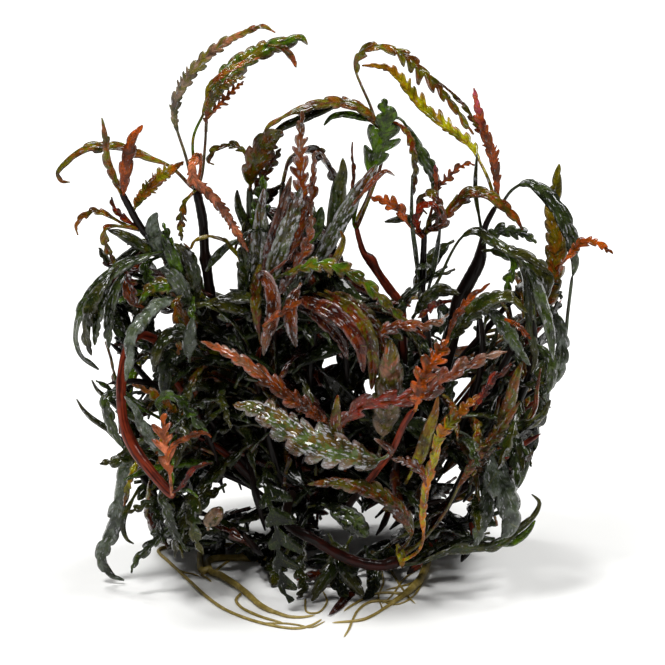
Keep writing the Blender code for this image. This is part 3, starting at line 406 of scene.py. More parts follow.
# Small leaves of the clump that have no solid of their own, in the same way, but with one half width.
SMALL_LEFT = [
    Small("olive", "toothed", 1.5, 30, 4, 0.25, [
        (-56, 119.5, -11), (-60, 120, -12), (-66, 123, -13), (-70, 124.5, -14), (-73, 123, -14),
        (-75.5, 120.5, -14), (-75, 117.5, -14)]),
    Small("red", "toothed", 1.6, 20, 3, 0.2, [
        (-57, 119.5, -11), (-61, 122, -12), (-64, 125, -13), (-65, 128.5, -13)]),
    Small("dark", "plain", 2.0, 20, 3, 0.15, [
        (-49, 110.5, -9), (-54, 113, -12), (-59, 116, -14), (-63, 118, -15), (-66, 118.8, -15)]),
    Small("bronze", "lobed", 1.6, 30, 4, 0.3, [
        (-57, 119, -11), (-61, 119.8, -14), (-65, 120, -15), (-67, 118.5, -16), (-66.5, 114, -16),
        (-65, 111, -16), (-64, 107.5, -16)]),
    Small("bloom", "plain", 2.5, 10, 3, 0.15, [
        (-48.5, 110, -9), (-50.8, 113, -11), (-52.5, 117, -12), (-53, 121, -13), (-51.5, 124, -13)]),
    Small("green", "lobed", 2.1, 10, 3, 0.1, [
        (-46, 108, -8), (-47.5, 113, -9.5), (-49, 118, -10), (-50, 121, -10)]),
    Small("yellow", "toothed", 1.1, 30, 6, 0.2, [
        (-24, 103, 2), (-25.5, 106, -1), (-28, 111.5, -4), (-30, 114, -5), (-32, 116, -5.5),
        (-35, 117, -5.5), (-38, 117, -5.5), (-40.5, 116, -5.5), (-42, 113.5, -5.5), (-44, 115, -5.5)]),
    Small("olive", "toothed", 1.8, 20, 5, 0.15, [
        (-40.5, 131, -1), (-42, 129.3, -3), (-43.7, 127, -4), (-44.6, 123, -5), (-44.9, 119, -5),
        (-44.6, 116, -5)]),
    Small("rusty", "tree", 2.6, -15, 9, 0.5, [
        (-40, 131.5, 0), (-38.5, 136, 0), (-37.5, 145, -1), (-37, 152, -2), (-35, 158, -3),
        (-32, 161.5, -4), (-29, 163, -4), (-25.5, 163.8, -4)]),
    Small("orange", "tree", 1.9, -20, 6, 0.15, [
        (-36.8, 152, -2), (-33.5, 155.5, -3), (-29.5, 159.5, -4), (-26, 162.5, -4)]),
    Small("rusty", "ragged", 2.0, -30, 9, 0.3, [
        (-37.3, 148, -1), (-37, 155, 0), (-36.5, 160.5, 1), (-33, 164.3, 2), (-28, 167.4, 3),
        (-21.5, 169.8, 4)]),
    Small("rusty", "wavy", 1.5, 20, 3, 0.2, [
        (-19, 174.3, 18.5), (-15, 173.5, 17), (-12.3, 171, 16), (-10.7, 167.8, 16)]),
    Small("green", "plain", 2.2, 10, 3, 0.1, [
        (-44, 100, -14), (-45.5, 106, -17), (-47.5, 112, -18.5), (-50, 117.5, -19)]),
    Small("frosted", "plain", 2.7, 15, 3, 0.1, [
        (-42, 96, -14), (-44, 101, -18), (-47, 105.5, -20), (-50.5, 107.5, -21)]),
    Small("dark", "wavy", 2.9, 10, 4, 0.1, [
        (-40, 97, -10), (-40.5, 104, -14), (-42, 110, -16), (-44.5, 114.5, -17)]),
    Small("silver", "plain", 1.4, 20, 3, 0.1, [
        (-37.5, 107, -2), (-34.5, 111, -3.5), (-30, 115, -4.5), (-26.5, 116.5, -4.5)]),
    Small("silver", "wavy", 2.4, 25, 6, 0.15, [
        (-60, 109, -18), (-65.5, 105, -22), (-68, 99, -24), (-69.5, 93, -25), (-70, 85, -25)]),
    Small("silver", "wavy", 2.3, 15, 6, 0.15, [
        (-58, 109.5, -17), (-62.5, 104, -20.5), (-65, 98, -22.5), (-66, 92, -23), (-66, 84, -23)]),
    Small("dark", "wavy", 2.9, 30, 6, 0.15, [
        (-63, 108.5, -20), (-68, 101.5, -25), (-71.5, 95.5, -26), (-72.5, 88, -26), (-71, 82, -26)]),
    Small("maroon", "lobed", 1.8, 20, 3, 0.15, [
        (-61, 109, -18), (-60.8, 106, -19.5), (-59, 102, -20.5), (-58, 97, -20.5)]),
    Small("green", "lobed", 2.4, 20, 3, 0.2, [
        (-50.5, 111.5, -10), (-55, 108.8, -13), (-53.5, 104.5, -16), (-50, 100.5, -17)]),
    Small("turning", "wavy", 3.4, 35, 6, 0.2, [
        (-37, 96, -2), (-38.5, 99.5, -6), (-42, 101.5, -12), (-45, 103, -15), (-50, 102.5, -18),
        (-54, 101, -20), (-57, 97, -21)]),
    Small("bloom", "wavy", 2.7, 20, 6, 0.3, [
        (-38, 93, -6), (-44, 98, -14), (-50, 97.3, -24), (-54, 94.3, -30), (-57, 90.5, -33.5),
        (-59, 87, -34.5), (-59.2, 82, -35), (-60, 78, -35), (-60.5, 74.5, -35)]),
    Small("dark", "wavy", 3.0, 10, 4, 0.15, [
        (-38, 84, -14), (-43, 88, -24), (-48, 87.5, -29), (-51.5, 83, -31), (-52.5, 77, -31)]),
    Small("deep", "wavy", 3.0, 10, 4, 0.15, [
        (-36, 80, -12), (-42, 83.5, -20), (-47.5, 81, -25), (-49.5, 74.5, -26), (-49, 68, -26)]),
    Small("bloom", "plain", 2.2, 0, 2, 0.15, [
        (-42, 80, -27), (-42, 84, -31), (-41.5, 88.5, -32), (-40.8, 93, -32)]),
    Small("olive", "lobed", 2.2, 15, 5, 0.15, [
        (-43, 101, -16), (-46, 97.5, -21), (-45.3, 92, -23), (-45, 87, -24), (-45.5, 82, -24)]),
    Small("green", "lobed", 1.6, -15, 3, 0.1, [
        (-41, 99, -14), (-41.5, 95, -18), (-41, 91, -20), (-41, 87, -20)]),
    Small("dark", "plain", 1.1, 20, 4, 0.2, [
        (-50, 58, -8), (-58, 62.5, -15), (-64, 67, -18), (-66.5, 69, -19), (-69.5, 71.5, -20),
        (-71.3, 74.5, -20)]),
    Small("green", "lobed", 1.9, -15, 4, 0.3, [
        (-50, 62, -6), (-58, 66.5, -12), (-64, 70, -14), (-68, 73, -15), (-70.3, 74.3, -15)]),
    Small("dark", "plain", 1.1, 15, 5, 0.3, [
        (-48, 48, -8), (-56, 52, -12), (-61, 55, -14), (-64, 57, -15), (-67, 60, -16), (-70, 62, -17),
        (-73.5, 65, -18), (-76, 68.8, -18)]),
    Small("bloom", "wavy", 2.2, 20, 5, 0.15, [
        (-47, 50, -24), (-51, 54.5, -34), (-54, 58.5, -38), (-56, 62, -39), (-57.7, 66, -39),
        (-60.7, 70, -39)]),
    Small("olive", "toothed", 2.0, 20, 4, 0.15, [
        (-44, 64, -24), (-49, 67.5, -32), (-52, 70, -35), (-55, 71.8, -36), (-58.5, 73.4, -37)]),
    Small("green", "lobed", 2.6, 10, 5, 0.12, [
        (-50.5, 64, -32), (-50.5, 69, -37), (-46.5, 70, -40), (-43, 66.8, -41), (-40, 63.2, -41),
        (-36.5, 59.5, -40)]),
    Small("silver", "wavy", 2.2, 20, 5, 0.15, [
        (-56, 67, -12), (-63, 70.5, -19), (-67, 68.5, -22), (-66.5, 64, -23), (-65, 59.5, -23),
        (-62, 54, -22)]),
    Small("dark", "oak", 2.6, 10, 4, 0.15, [
        (-50, 53, -8), (-58, 52, -13), (-64, 50.3, -15), (-69.5, 49.3, -15)]),
    Small("silver", "toothed", 2.6, 15, 6, 0.12, [
        (-40, 37, -12), (-47, 31.5, -19), (-51, 28.3, -20), (-54, 25.3, -21), (-57, 22.3, -21),
        (-59.5, 19, -21), (-60.2, 16.5, -21)]),
    Small("dark", "lobed", 2.2, 10, 4, 0.12, [
        (-44, 41, -12), (-52, 38.4, -17), (-56, 37, -18), (-61, 34.6, -18)]),
    Small("silver", "wavy", 1.9, 10, 5, 0.12, [
        (-49, 47, -20), (-50.7, 40, -25), (-49.2, 36, -26), (-47.6, 31, -26), (-45.6, 27, -26),
        (-43.3, 23.3, -26)]),
    Small("dark", "oak", 3.2, 10, 5, 0.12, [
        (-32, 43, -12), (-38.5, 38.5, -22), (-43, 33, -24), (-46, 27.5, -25), (-47, 21.5, -25)]),
    Small("dark", "oak", 3.0, 10, 5, 0.12, [
        (-34, 46, -14), (-40, 40, -22), (-41.5, 34, -26), (-40.5, 27, -26.5), (-38.5, 22.5, -26.5)]),
    Small("withered", "plain", 2.5, 5, 2, 0.2, [
        (-37, 30, -27), (-36.3, 32, -29.5), (-34.4, 34.6, -30), (-32.6, 36.6, -30)]),
    Small("dark", "plain", 0.9, 10, 3, 0.2, [
        (-58, 42, -10), (-62.3, 34, -13), (-62.9, 29.5, -13), (-61.7, 26.3, -13), (-59.8, 25, -13)]),
    Small("orange", "wavy", 1.4, 10, 4, 0.1, [
        (-62, 108.5, -16), (-61.4, 103, -18), (-59.5, 98, -18), (-55.5, 96, -18)]),
    Small("yellow", "toothed", 1.3, 10, 4, 0.1, [
        (-57, 52, -20), (-59.5, 47, -24), (-61, 41.5, -25), (-62, 37, -25)]),
]
SMALL_TREE = [
    Small("orange", "toothed", 1.3, 10, 4, 0.1, [
        (-48, 52, -52), (-47.4, 54.3, -52.5), (-45.8, 56.2, -53), (-43, 57.7, -53), (-40, 59, -53),
        (-37, 59.5, -52.5), (-35.3, 58.3, -52)]),
    Small("red", "toothed", 1.2, 10, 3, 0.1, [
        (-46.9, 42, -49), (-45, 42.7, -50), (-43, 45, -51), (-41, 48.3, -51.5), (-38, 50, -51.5),
        (-34.8, 50.6, -51)]),
]
SMALL_CENTRE = [
    Small("dark", "plain", 1.5, 30, 4, 0.1, [
        (3, 156, -3), (-4, 153.6, -4.4), (-10, 151.3, -5), (-15, 149, -5), (-20.5, 144, -5)]),
    Small("green", "plain", 1.2, 30, 3, 0.1, [
        (12.4, 151, -1), (8, 152.3, -3), (4, 153.2, -4), (0, 152.3, -4.5), (-2.3, 149.8, -4.5)]),
    Small("olive", "toothed", 1.5, 35, 5, 0.3, [
        (-24.3, 132, 2.6), (-24.5, 137.5, 1), (-26, 142, 0), (-29, 144, -1), (-33, 143.5, -2),
        (-36, 141.3, -2), (-36.5, 139.3, -2), (-35, 138.4, -2)]),
    Small("bronze", "lobed", 2.4, 10, 4, 0.12, [
        (-23.5, 130, 2), (-20.5, 135, -1), (-17.5, 139.5, -2.5), (-15.2, 143, -4)]),
    Small("dark", "plain", 1.6, 15, 3, 0.1, [
        (-24.4, 116, 3), (-25.8, 121, 1), (-27.7, 126, 0), (-28.2, 131, 0)]),
    Small("green", "oak", 3.2, 5, 4, 0.12, [
        (-24.2, 119, 2), (-22, 124, -3), (-20.8, 129, -5), (-20.5, 135, -6)]),
    Small("rosy", "toothed", 1.7, 10, 7, 0.2, [
        (-12, 110, -17), (-9, 118, -17.5), (-6.3, 127, -17), (-5.6, 133, -16.5), (-5.3, 137, -16),
        (-5.2, 140.5, -16), (-3.7, 141.4, -16), (-2.4, 140.3, -16), (-2.3, 138.6, -16)]),
    Small("green", "plain", 1.9, 5, 2, 0.15, [
        (-7, 114, -17), (-4.6, 119, -18.5), (-3, 125.5, -19.5)]),
    Small("streaked", "folded", 2.8, 12, 5, 0.1, [
        (-23, 99, -6), (-22.3, 106, -9), (-21.3, 115, -11), (-21, 124, -12), (-20, 131, -12.5)]),
    Small("rosy", "folded", 2.6, 12, 5, 0.1, [
        (-20, 99, -12), (-19.2, 106, -15), (-17, 117, -17), (-14.3, 127, -18), (-12, 134.5, -18)]),
    Small("streaked", "folded", 3.0, 10, 5, 0.1, [
        (-19.5, 100, -19), (-18, 106, -21), (-14.3, 116, -23.5), (-10.6, 125, -24), (-9, 131, -24)]),
    Small("streaked", "folded", 2.8, 5, 3, 0.1, [
        (-26.4, 97, 1), (-26, 104, -2), (-25, 112, -3.5), (-24.2, 119, -4)]),
    Small("dark", "lobed", 2.6, 5, 5, 0.1, [
        (-24, 98, -2), (-25.5, 106, -8), (-26.5, 114, -10), (-26, 121, -11)]),
    Small("rosy", "lobed", 2.4, 5, 6, 0.1, [
        (-17, 98, -18), (-13, 104, -22), (-9, 111, -23), (-6.5, 118, -22.5), (-6, 126, -21.5)]),
    Small("dark", "lobed", 2.2, 5, 5, 0.1, [
        (-15, 96, -12), (-10.5, 104, -15), (-7, 112, -16), (-5, 120, -15.5)]),
    Small("dark", "plain", 2.8, 8, 3, 0.15, [
        (-2.5, 108, -4), (0, 116, -5.5), (1.4, 124, -7), (2, 131, -7.5), (3.2, 136, -8), (3.2, 140, -8)]),
    Small("orange", "toothed", 0.9, 5, 5, 0.2, [
        (6.7, 120.5, 4.4), (6, 126, 2.5), (6, 131, 1.6), (6.5, 136, 1), (6, 141, 0), (6, 145, 0)]),
    Small("streaked", "folded", 2.8, -5, 5, 0.12, [
        (-8, 103, -10), (-4, 110.5, -12.5), (1, 118.5, -14), (6, 127, -14.6), (10, 133.3, -14.6),
        (13, 138, -14)]),
    Small("rosy", "plain", 0.9, -5, 3, 0.3, [
        (6, 126, -15.4), (10.5, 131.3, -16.3), (13, 134, -16.5), (15.8, 136, -16.5), (18.3, 134.7, -16.5)]),
    Small("yellow", "plain", 1.2, 10, 2, 0.1, [
        (-1, 105, -20), (0.8, 109.5, -21), (2.5, 113, -21.5), (3.4, 116.3, -21.5), (2.4, 118.4, -21.5)]),
    Small("orange", "toothed", 1.4, 0, 3, 0.2, [
        (-20, 90.5, -36), (-17, 93, -38.5), (-11.5, 96.3, -40), (-8.4, 98.4, -40)]),
    Small("maroon", "folded", 2.8, -15, 5, 0.1, [
        (-13, 99, -26), (-7, 97.5, -31), (-1, 95, -35), (4, 91, -37.5), (7.8, 85, -38.5), (9.2, 77, -38.5)]),
    Small("maroon", "folded", 2.4, 20, 5, 0.1, [
        (-12, 97, -25), (-7, 95.5, -29), (-2, 92, -32), (2.5, 87, -34), (4.5, 81, -34.5)]),
    Small("bronze", "folded", 2.6, -5, 5, 0.1, [
        (-4, 100, -26), (1, 98, -32), (6.5, 94, -35.5), (10.4, 88.5, -37), (12, 80, -37), (11.6, 72, -36)]),
    Small("bronze", "ribbed", 3.6, 15, 5, 0.1, [
        (-2, 101, -24), (3, 98, -29), (9, 93, -33), (13.5, 87, -35), (15, 80.5, -35.5)]),
    Small("rosy", "folded", 2.4, 10, 5, 0.1, [
        (-9, 103, -26), (-11.5, 98, -30.5), (-12, 91, -32.5), (-10.5, 84.5, -33)]),
]
SMALL_RIGHT = [
    Small("bronze", "toothed", 1.5, 35, 9, 0.35, [
        (48.8, 126.5, 2.5), (48.6, 134, 3), (47.2, 142, 4), (45, 146.3, 5), (43, 150, 6), (40, 155, 7),
        (37, 158.3, 8), (34, 161, 8), (31, 163.2, 8), (28, 165.4, 8)]),
    Small("dark", "plain", 0.7, 10, 3, 0.3, [
        (45.2, 116, 2.3), (43.8, 124, 4), (42.8, 131, 6), (43.2, 142, 8)]),
    Small("bronze", "toothed", 1.9, 10, 5, 0.3, [
        (14.6, 147.5, 0.6), (17, 150.6, -2), (20, 150, -4), (22.6, 147, -5), (24, 142, -6), (24.6, 136, -6),
        (24, 129.5, -6)]),
    Small("silver", "wavy", 2.4, 5, 5, 0.3, [
        (14.2, 149, 0.2), (18, 152, -2), (21, 151, -3), (24, 145.4, -4), (27, 140.3, -5), (30, 135, -5),
        (31.2, 127, -5)]),
    Small("orange", "tree", 1.9, 0, 6, 0.45, [
        (27.7, 118, -4), (29.8, 126, -6), (31, 131, -7), (34, 134, -8), (37, 137, -9), (40, 138.4, -9),
        (42, 138, -9)]),
    Small("pink", "toothed", 1.0, 0, 2, 0.2, [
        (30.8, 130.5, -7), (30.8, 134, -8), (30.5, 138, -8)]),
    Small("orange", "oak", 2.5, 0, 4, 0.4, [
        (27.4, 116.5, -4), (24.8, 118.6, -6), (22, 121.5, -8), (20, 125, -9), (17.8, 126.5, -10),
        (15, 127.6, -10), (11.6, 128.6, -10)]),
    Small("dark", "plain", 1.2, 0, 3, 0.2, [
        (26.6, 118.8, -4), (22.4, 122.4, -7), (19, 122, -8), (15.6, 121.4, -8)]),
    Small("bronze", "toothed", 2.1, 15, 5, 0.1, [
        (27.6, 118, -4), (29.2, 122, -8), (31.7, 125, -10), (30.6, 128.6, -11), (27.4, 129.2, -11),
        (25.8, 126.5, -10.5), (28, 123.8, -9.5)]),
    Small("red", "toothed", 1.9, -15, 4, 0.1, [
        (27.4, 117, -4), (25.3, 120, -8), (25.4, 124, -10.5), (28, 126.6, -12.5), (31.2, 124.6, -13.5),
        (30.6, 120.6, -13.5)]),
    Small("rosy", "toothed", 1.8, 25, 4, 0.1, [
        (27.8, 118.8, -4), (31, 119.5, -9), (33.2, 121.5, -11), (32.7, 125, -12), (29.8, 125.8, -12.5)]),
    Small("silver", "oak", 2.8, 5, 5, 0.12, [
        (44.8, 115, 1), (47, 117.8, -2), (51, 118.6, -5), (55, 118.4, -7), (58, 117.2, -8),
        (60.6, 115.2, -8)]),
    Small("silver", "plain", 0.7, 10, 3, 0.2, [
        (26.6, 98, -4.6), (25.2, 110, -6), (23.7, 122, -7), (23.6, 134.5, -7)]),
    Small("silver", "plain", 0.8, 10, 3, 0.2, [
        (28.2, 99, -4.6), (30, 107, -6), (31.2, 113, -7), (32.2, 121, -7)]),
    Small("green", "lobed", 2.0, 10, 3, 0.15, [
        (51, 113, -15.5), (53.6, 108.6, -18), (52, 104.3, -19), (52, 101.2, -19), (51.4, 98, -19)]),
    Small("dark", "wavy", 3.1, -10, 4, 0.12, [
        (45, 113, 0), (49, 113, -4), (55, 111.3, -7), (61, 108, -8), (64, 103.2, -9), (63, 97.5, -9)]),
    Small("dark", "plain", 1.8, 10, 4, 0.12, [
        (53, 111.5, -16), (57, 106, -15), (58.2, 100, -14), (59, 93, -13), (59.6, 87, -13),
        (60.5, 80.5, -13), (59.4, 76.5, -13)]),
    Small("silver", "plain", 2.1, -10, 4, 0.12, [
        (55, 110.8, -17.4), (60, 103.5, -18), (62.2, 97, -18), (64, 92, -18), (65, 86, -18),
        (65.6, 80, -18)]),
    Small("dark", "wavy", 2.0, 20, 3, 0.15, [
        (56, 86, -3), (61, 91.6, -6.5), (66, 92.8, -8), (68.6, 90.2, -8), (69.2, 86.5, -8)]),
    Small("bloom", "wavy", 2.4, 10, 5, 0.15, [
        (60, 101, -6), (65, 95.5, -9), (68, 88.5, -10), (68.4, 80, -10), (66, 74, -10), (63, 70, -10)]),
    Small("frosted", "wavy", 2.4, 5, 5, 0.12, [
        (43, 97, -16), (48, 93.5, -23), (52, 88.4, -25), (55, 83.4, -26), (58.3, 79, -26)]),
    Small("dark", "wavy", 3.6, -20, 6, 0.12, [
        (34, 84, -10), (38, 91.6, -18), (43, 96, -21), (48, 98.8, -23), (53, 98.6, -24), (57.4, 94.6, -24)]),
    Small("orange", "toothed", 1.6, -10, 4, 0.12, [
        (34, 86, -20), (36, 92.5, -24), (39, 96.8, -26), (42, 99.7, -27), (46.3, 103, -28)]),
    Small("orange", "toothed", 1.3, 0, 3, 0.15, [
        (51, 92.5, -26), (54.5, 90.7, -29), (58.4, 86.7, -30)]),
    Small("rosy", "lobed", 2.6, -15, 6, 0.15, [
        (8, 80, -26), (12.5, 86.6, -33.5), (17, 90, -37), (22, 91, -38), (27, 90.8, -38), (31, 91.6, -37),
        (34, 94, -36)]),
    Small("dark", "wavy", 2.6, -15, 4, 0.12, [
        (24, 93, -9), (28, 98.8, -15), (32.4, 101, -17), (37.6, 100, -18)]),
    Small("red", "toothed", 1.5, 0, 3, 0.12, [
        (35, 98, -18), (31, 97, -22), (28, 95, -23), (25.4, 93, -23)]),
]
SMALL_FRONT = [
    Small("bronze", "plain", 2.0, 0, 2, 0.15, [
        (6, 52, -42), (2.4, 57, -48.5), (1, 61, -50), (1.2, 65.5, -50.5), (1.7, 70.5, -50)]),
    Small("rosy", "plain", 1.1, 0, 2, 0.15, [
        (17.4, 52.8, -46.8), (17.1, 54.5, -49.5), (15, 56.1, -50.5), (12.3, 57.7, -51)]),
    Small("faded", "ribbed", 4.8, 5, 4, 0.25, [
        (14, 52, -20), (15.6, 62, -33), (16.5, 70, -39), (17, 78, -41), (17.2, 86.5, -41)]),
    Small("ripe", "lobed", 2.9, -10, 6, 0.1, [
        (29.4, 53, -47), (32, 59, -47.4), (37.5, 65.6, -47), (42.5, 70.4, -45.4)]),
    Small("yellow", "plain", 2.0, 0, 3, 0.2, [
        (22, 44, -24), (26, 52.5, -36), (28, 59, -40), (30, 64.5, -41), (31, 70, -41.5)]),
    Small("rosy", "lobed", 1.9, 0, 4, 0.1, [
        (27.7, 43.6, -45), (26.7, 47, -46), (24, 49.6, -46.5), (21, 51, -47), (17.5, 51.8, -47)]),
    Small("red", "lobed", 1.8, 0, 3, 0.12, [
        (42, 66, -28), (46.5, 73.8, -34.5), (50, 77, -36), (52.6, 79.4, -36)]),
    Small("olive", "plain", 2.0, 0, 3, 0.2, [
        (48, 58, -24), (52, 67.6, -32.6), (53, 71.4, -34), (54, 75.4, -34.4), (55.8, 80, -34)]),
    Small("silver", "wavy", 2.2, 10, 3, 0.12, [
        (60, 86, -12), (64.6, 81, -16), (65.2, 76, -17), (64.3, 70.5, -17)]),
    Small("dark", "wavy", 1.9, -10, 3, 0.12, [
        (48, 57, -12), (56, 60.6, -19.5), (60, 62, -21), (63, 65, -21), (64.8, 68.6, -21)]),
    Small("bronze", "plain", 0.8, 0, 3, 0.2, [
        (54, 56, -8), (60, 65, -16), (61, 72, -17), (62, 78, -17)]),
    Small("silver", "plain", 1.7, 0, 3, 0.35, [
        (40, 50, -14), (48, 52.3, -21), (53, 53.4, -25), (56.4, 53.6, -26.4), (57.2, 50, -27),
        (56.6, 46, -27), (55.4, 42.5, -27)]),
    Small("frosted", "wavy", 3.0, 0, 4, 0.12, [
        (46, 46, -18), (46.3, 37.5, -24), (44.4, 31, -25), (43, 25, -25)]),
    Small("speckled", "ribbed", 3.7, 0, 4, 0.2, [
        (-3, 37.5, -24), (1, 35.6, -28), (5, 33.4, -31), (8.5, 30.4, -31.5), (10.5, 28, -31.5)]),
    Small("green", "plain", 1.2, 0, 3, 0.15, [
        (49, 24.8, -22), (54, 25.6, -19), (58.5, 28.6, -17), (61, 32.2, -16)]),
    Small("yellow", "plain", 1.5, 0, 2, 0.1, [
        (19.4, 25.4, -25.4), (20.3, 23, -26), (20.9, 20.6, -26.4), (20.8, 18.6, -26.4)]),
    Small("deep", "wavy", 2.8, 0, 4, 0.15, [
        (10, 24, -10), (12.5, 17, -18), (12, 11.5, -22), (9.5, 8.5, -24)]),
    Small("dark", "lobed", 2.6, 10, 4, 0.15, [
        (-8, 26, -12), (-9.5, 18, -18), (-8.5, 12, -22), (-10.5, 8.5, -23)]),
    Small("deep", "wavy", 3.0, 0, 4, 0.1, [
        (2, 24, -12), (0.5, 17, -20), (3.5, 10.5, -24), (2.5, 8, -25)]),
    Small("maroon", "plain", 1.8, 0, 3, 0.15, [
        (8, 14, -10), (5.4, 9.6, -20), (2.4, 6.9, -30), (-0.8, 4.6, -37)]),
    Small("dark", "wavy", 3.4, 0, 4, 0.15, [
        (-1, 28, -15), (3, 20.5, -24), (6, 14.5, -27), (9.4, 9.6, -28)]),
    Small("dark", "wavy", 3.1, 0, 4, 0.15, [
        (6, 27, -12), (0.5, 18.5, -22), (-3.8, 12.4, -25), (-6, 8.2, -26)]),
]
SMALL_LEAVES = {
    "left": SMALL_LEFT, "tree": SMALL_TREE, "centre": SMALL_CENTRE, "right": SMALL_RIGHT,
    "front": SMALL_FRONT,
}

# The dense part of the clump as it is seen from the front, and the gaps that let the ground show through.
OUTLINE = [
    (-69, 80), (-72, 92), (-71, 106), (-69, 119), (-60, 122), (-50, 117), (-43, 118), (-38, 110), (-35, 101),
    (-28, 101), (-30, 116), (-28, 131), (-22, 137), (-13, 136), (-5, 133), (1, 124), (3, 112), (9, 102),
    (20, 98), (25, 104), (24, 116), (31, 123), (38, 121), (44, 111), (50, 119), (58, 118), (66, 110),
    (70, 100), (68, 88), (66, 78), (68, 70), (63, 57), (57, 40), (50, 26), (34, 20), (20, 10), (2, 4),
    (-19, 7), (-30, 16), (-50, 22), (-62, 38), (-66, 60),
]
Gap = namedtuple("Gap", "across seen radius")
GAPS = [
    Gap(-56.5, 77, 2.2), Gap(-50, 91.5, 2.2), Gap(-52, 61, 1.4), Gap(-30, 40, 3.2), Gap(-25, 38, 2),
    Gap(-21, 29, 2), Gap(-39, 36, 1.2), Gap(0.5, 81, 1.6), Gap(11.5, 72, 1.0), Gap(27, 92.7, 2.6),
    Gap(39, 86, 3.4), Gap(40, 70, 3.4), Gap(35, 46, 2.6), Gap(2.5, 27.5, 4.8), Gap(15.5, 31, 4.4),
    Gap(17, 14, 3.6), Gap(-5, 7, 2), Gap(39.5, 36, 1.2), Gap(-32, 107, 5), Gap(16, 112, 9), Gap(42, 103, 4),
    Gap(50, 104, 3),
]

# The parts of the dense mass: where its shoots stand, how tall they may grow and how many there are, how
# many leaves fill it, how far those reach sideways and back, and up to what height, how many more may
# reach forward at its outer side, and how often each look comes.
Thicket = namedtuple("Thicket", "name slot seed middle spread rise shoots inner inner_spread fringe looks")
THICKETS = [
    Thicket("low", "dark_leaf", 11, (0, 12, 5), (44, 26, 4), 16, 20, 240, (50, 34, 16), 0,
            "deep dark silver dark maroon deep"),
    Thicket("left", "dark_leaf", 23, (-36, 10, 34), (24, 18, 22), 62, 20, 420, (34, 26, 104), 60,
            "dark deep silver green olive dark"),
    Thicket("centre", "bronze_leaf", 37, (-4, 10, 34), (18, 18, 22), 66, 16, 420, (26, 26, 118), 0,
            "dark maroon bronze deep dark silver"),
    Thicket("right", "dark_leaf", 41, (36, 10, 34), (24, 18, 22), 62, 20, 420, (34, 26, 104), 60,
            "dark silver deep olive bronze dark"),
    Thicket("back_left", "green_leaf", 53, (-28, 38, 24), (26, 10, 20), 58, 26, 150, (28, 14, 84), 0,
            "silver green frosted olive dark rosy turning"),
    Thicket("back_right", "green_leaf", 67, (28, 38, 24), (26, 10, 20), 58, 26, 150, (28, 14, 84), 0,
            "silver green frosted bronze dark olive streaked"),
]
THICKET_MIDDLE = np.array((0.0, 10.0, 20.0))
FRONT_LIMIT = -17.0

# the shoots: how far apart their leaves stand, and their radius at these shares of their length
NODE_SPACING = 9.0
SHOOT_SHARES = (0.0, 0.3, 1.0)
SHOOT_RADII = (0.3, 1.2, 0.7)

# where the leaves start that reach further forward, so that the clump is round from the side too, and how
# far they may come
FRINGE_ACROSS = (30.0, 62.0)
FRINGE_BACK = (-16, -6)
FRINGE_HEIGHT = (4, 72)
FRINGE_FRONT = -38.0

# the leaves of the mass: how long they are, in millimetres, and their half width as a share of that
SHOOT_LEAF_LENGTHS = (24, 46)
INNER_LEAF_LENGTHS = (18, 38)
FRINGE_LEAF_LENGTHS = (22, 38)
SLIM_LEAF = (0.065, 0.10)
BROAD_LEAF = (0.10, 0.15)
LEAF_TRIES = 8
LOBE_SPACING = 6
MASS_CUTS = ("lobed", "oak", "lobed", "shallow")
# the inner leaves are mostly deep, whose near-black stands for painted shade
INNER_LOOKS = ("deep", "deep", "deep", "dark", "maroon")

# the rounded back of the dense part: its middle and its half sizes across, back and up, in millimetres, and
# how full its corners are, where 2 is round
DOME_MIDDLE = np.array((0.0, 8.0, 45.0))
DOME_HALVES = np.array((80.0, 46.0, 76.0))
DOME_FULLNESS = 2.2

# the dark hollow at the front: its middle and half size in the front view, and how far back it reaches
HOLLOW_MIDDLE = (-4, 40)
HOLLOW_HALVES = (26, 22)
HOLLOW_FRONT = -4.0


def linear_colour(code):
    """Return an sRGB hex colour as linear red, green and blue."""
    parts = [int(code[start:start + 2], 16) / 255 for start in (1, 3, 5)]
    return tuple(part / 12.92 if part <= 0.04045 else ((part + 0.055) / 1.055) ** 2.4 for part in parts)


def seen_place(across, seen, back):
    """Return the place in space, in millimetres, of a point given as it is seen from the front."""
    height = (seen - GROUND_SEEN - back * math.sin(VIEW_LEAN)) / math.cos(VIEW_LEAN)
    return across, back, height


def seen_height(place):
    """Return how high up the view places in space are seen."""
    return GROUND_SEEN + place[..., 2] * math.cos(VIEW_LEAN) + place[..., 1] * math.sin(VIEW_LEAN)


def ground_place(across, seen, radius):
    """Return the place of the middle of a root of this radius that lies on the ground."""
    back = (seen - GROUND_SEEN - radius * math.cos(VIEW_LEAN)) / math.sin(VIEW_LEAN)
    return across, back, radius


def unit(vectors):
    """Return vectors made one long."""
    lengths = np.linalg.norm(vectors, axis=-1, keepdims=True)
    return vectors / np.maximum(lengths, 1e-9)


def smooth_line(points):
    """Return close points on a smooth curve through the points given."""
    points = np.asarray(points, dtype=float)
    padded = np.vstack([points[:1], points, points[-1:]])
    share = np.linspace(0, 1, CURVE_FINENESS, endpoint=False)[:, None]
    spans = []
    for first in range(len(points) - 1):
        before, start, end, after = padded[first:first + 4]
        spans.append(0.5 * (
            2 * start
            + (end - before) * share
            + (2 * before - 5 * start + 4 * end - after) * share ** 2
            + (3 * start - before - 3 * end + after) * share ** 3
        ))
    return np.vstack(spans + [points[-1:]])


def points_at(line, shares):
    """Return the points at these shares of a line's length, and its length."""
    steps = np.linalg.norm(np.diff(line[:, :3], axis=0), axis=1)
    lengths = np.concatenate([[0.0], np.cumsum(steps)])
    wanted = np.asarray(shares) * lengths[-1]
    columns = [np.interp(wanted, lengths, line[:, axis]) for axis in range(line.shape[1])]
    return np.stack(columns, axis=1), lengths[-1]


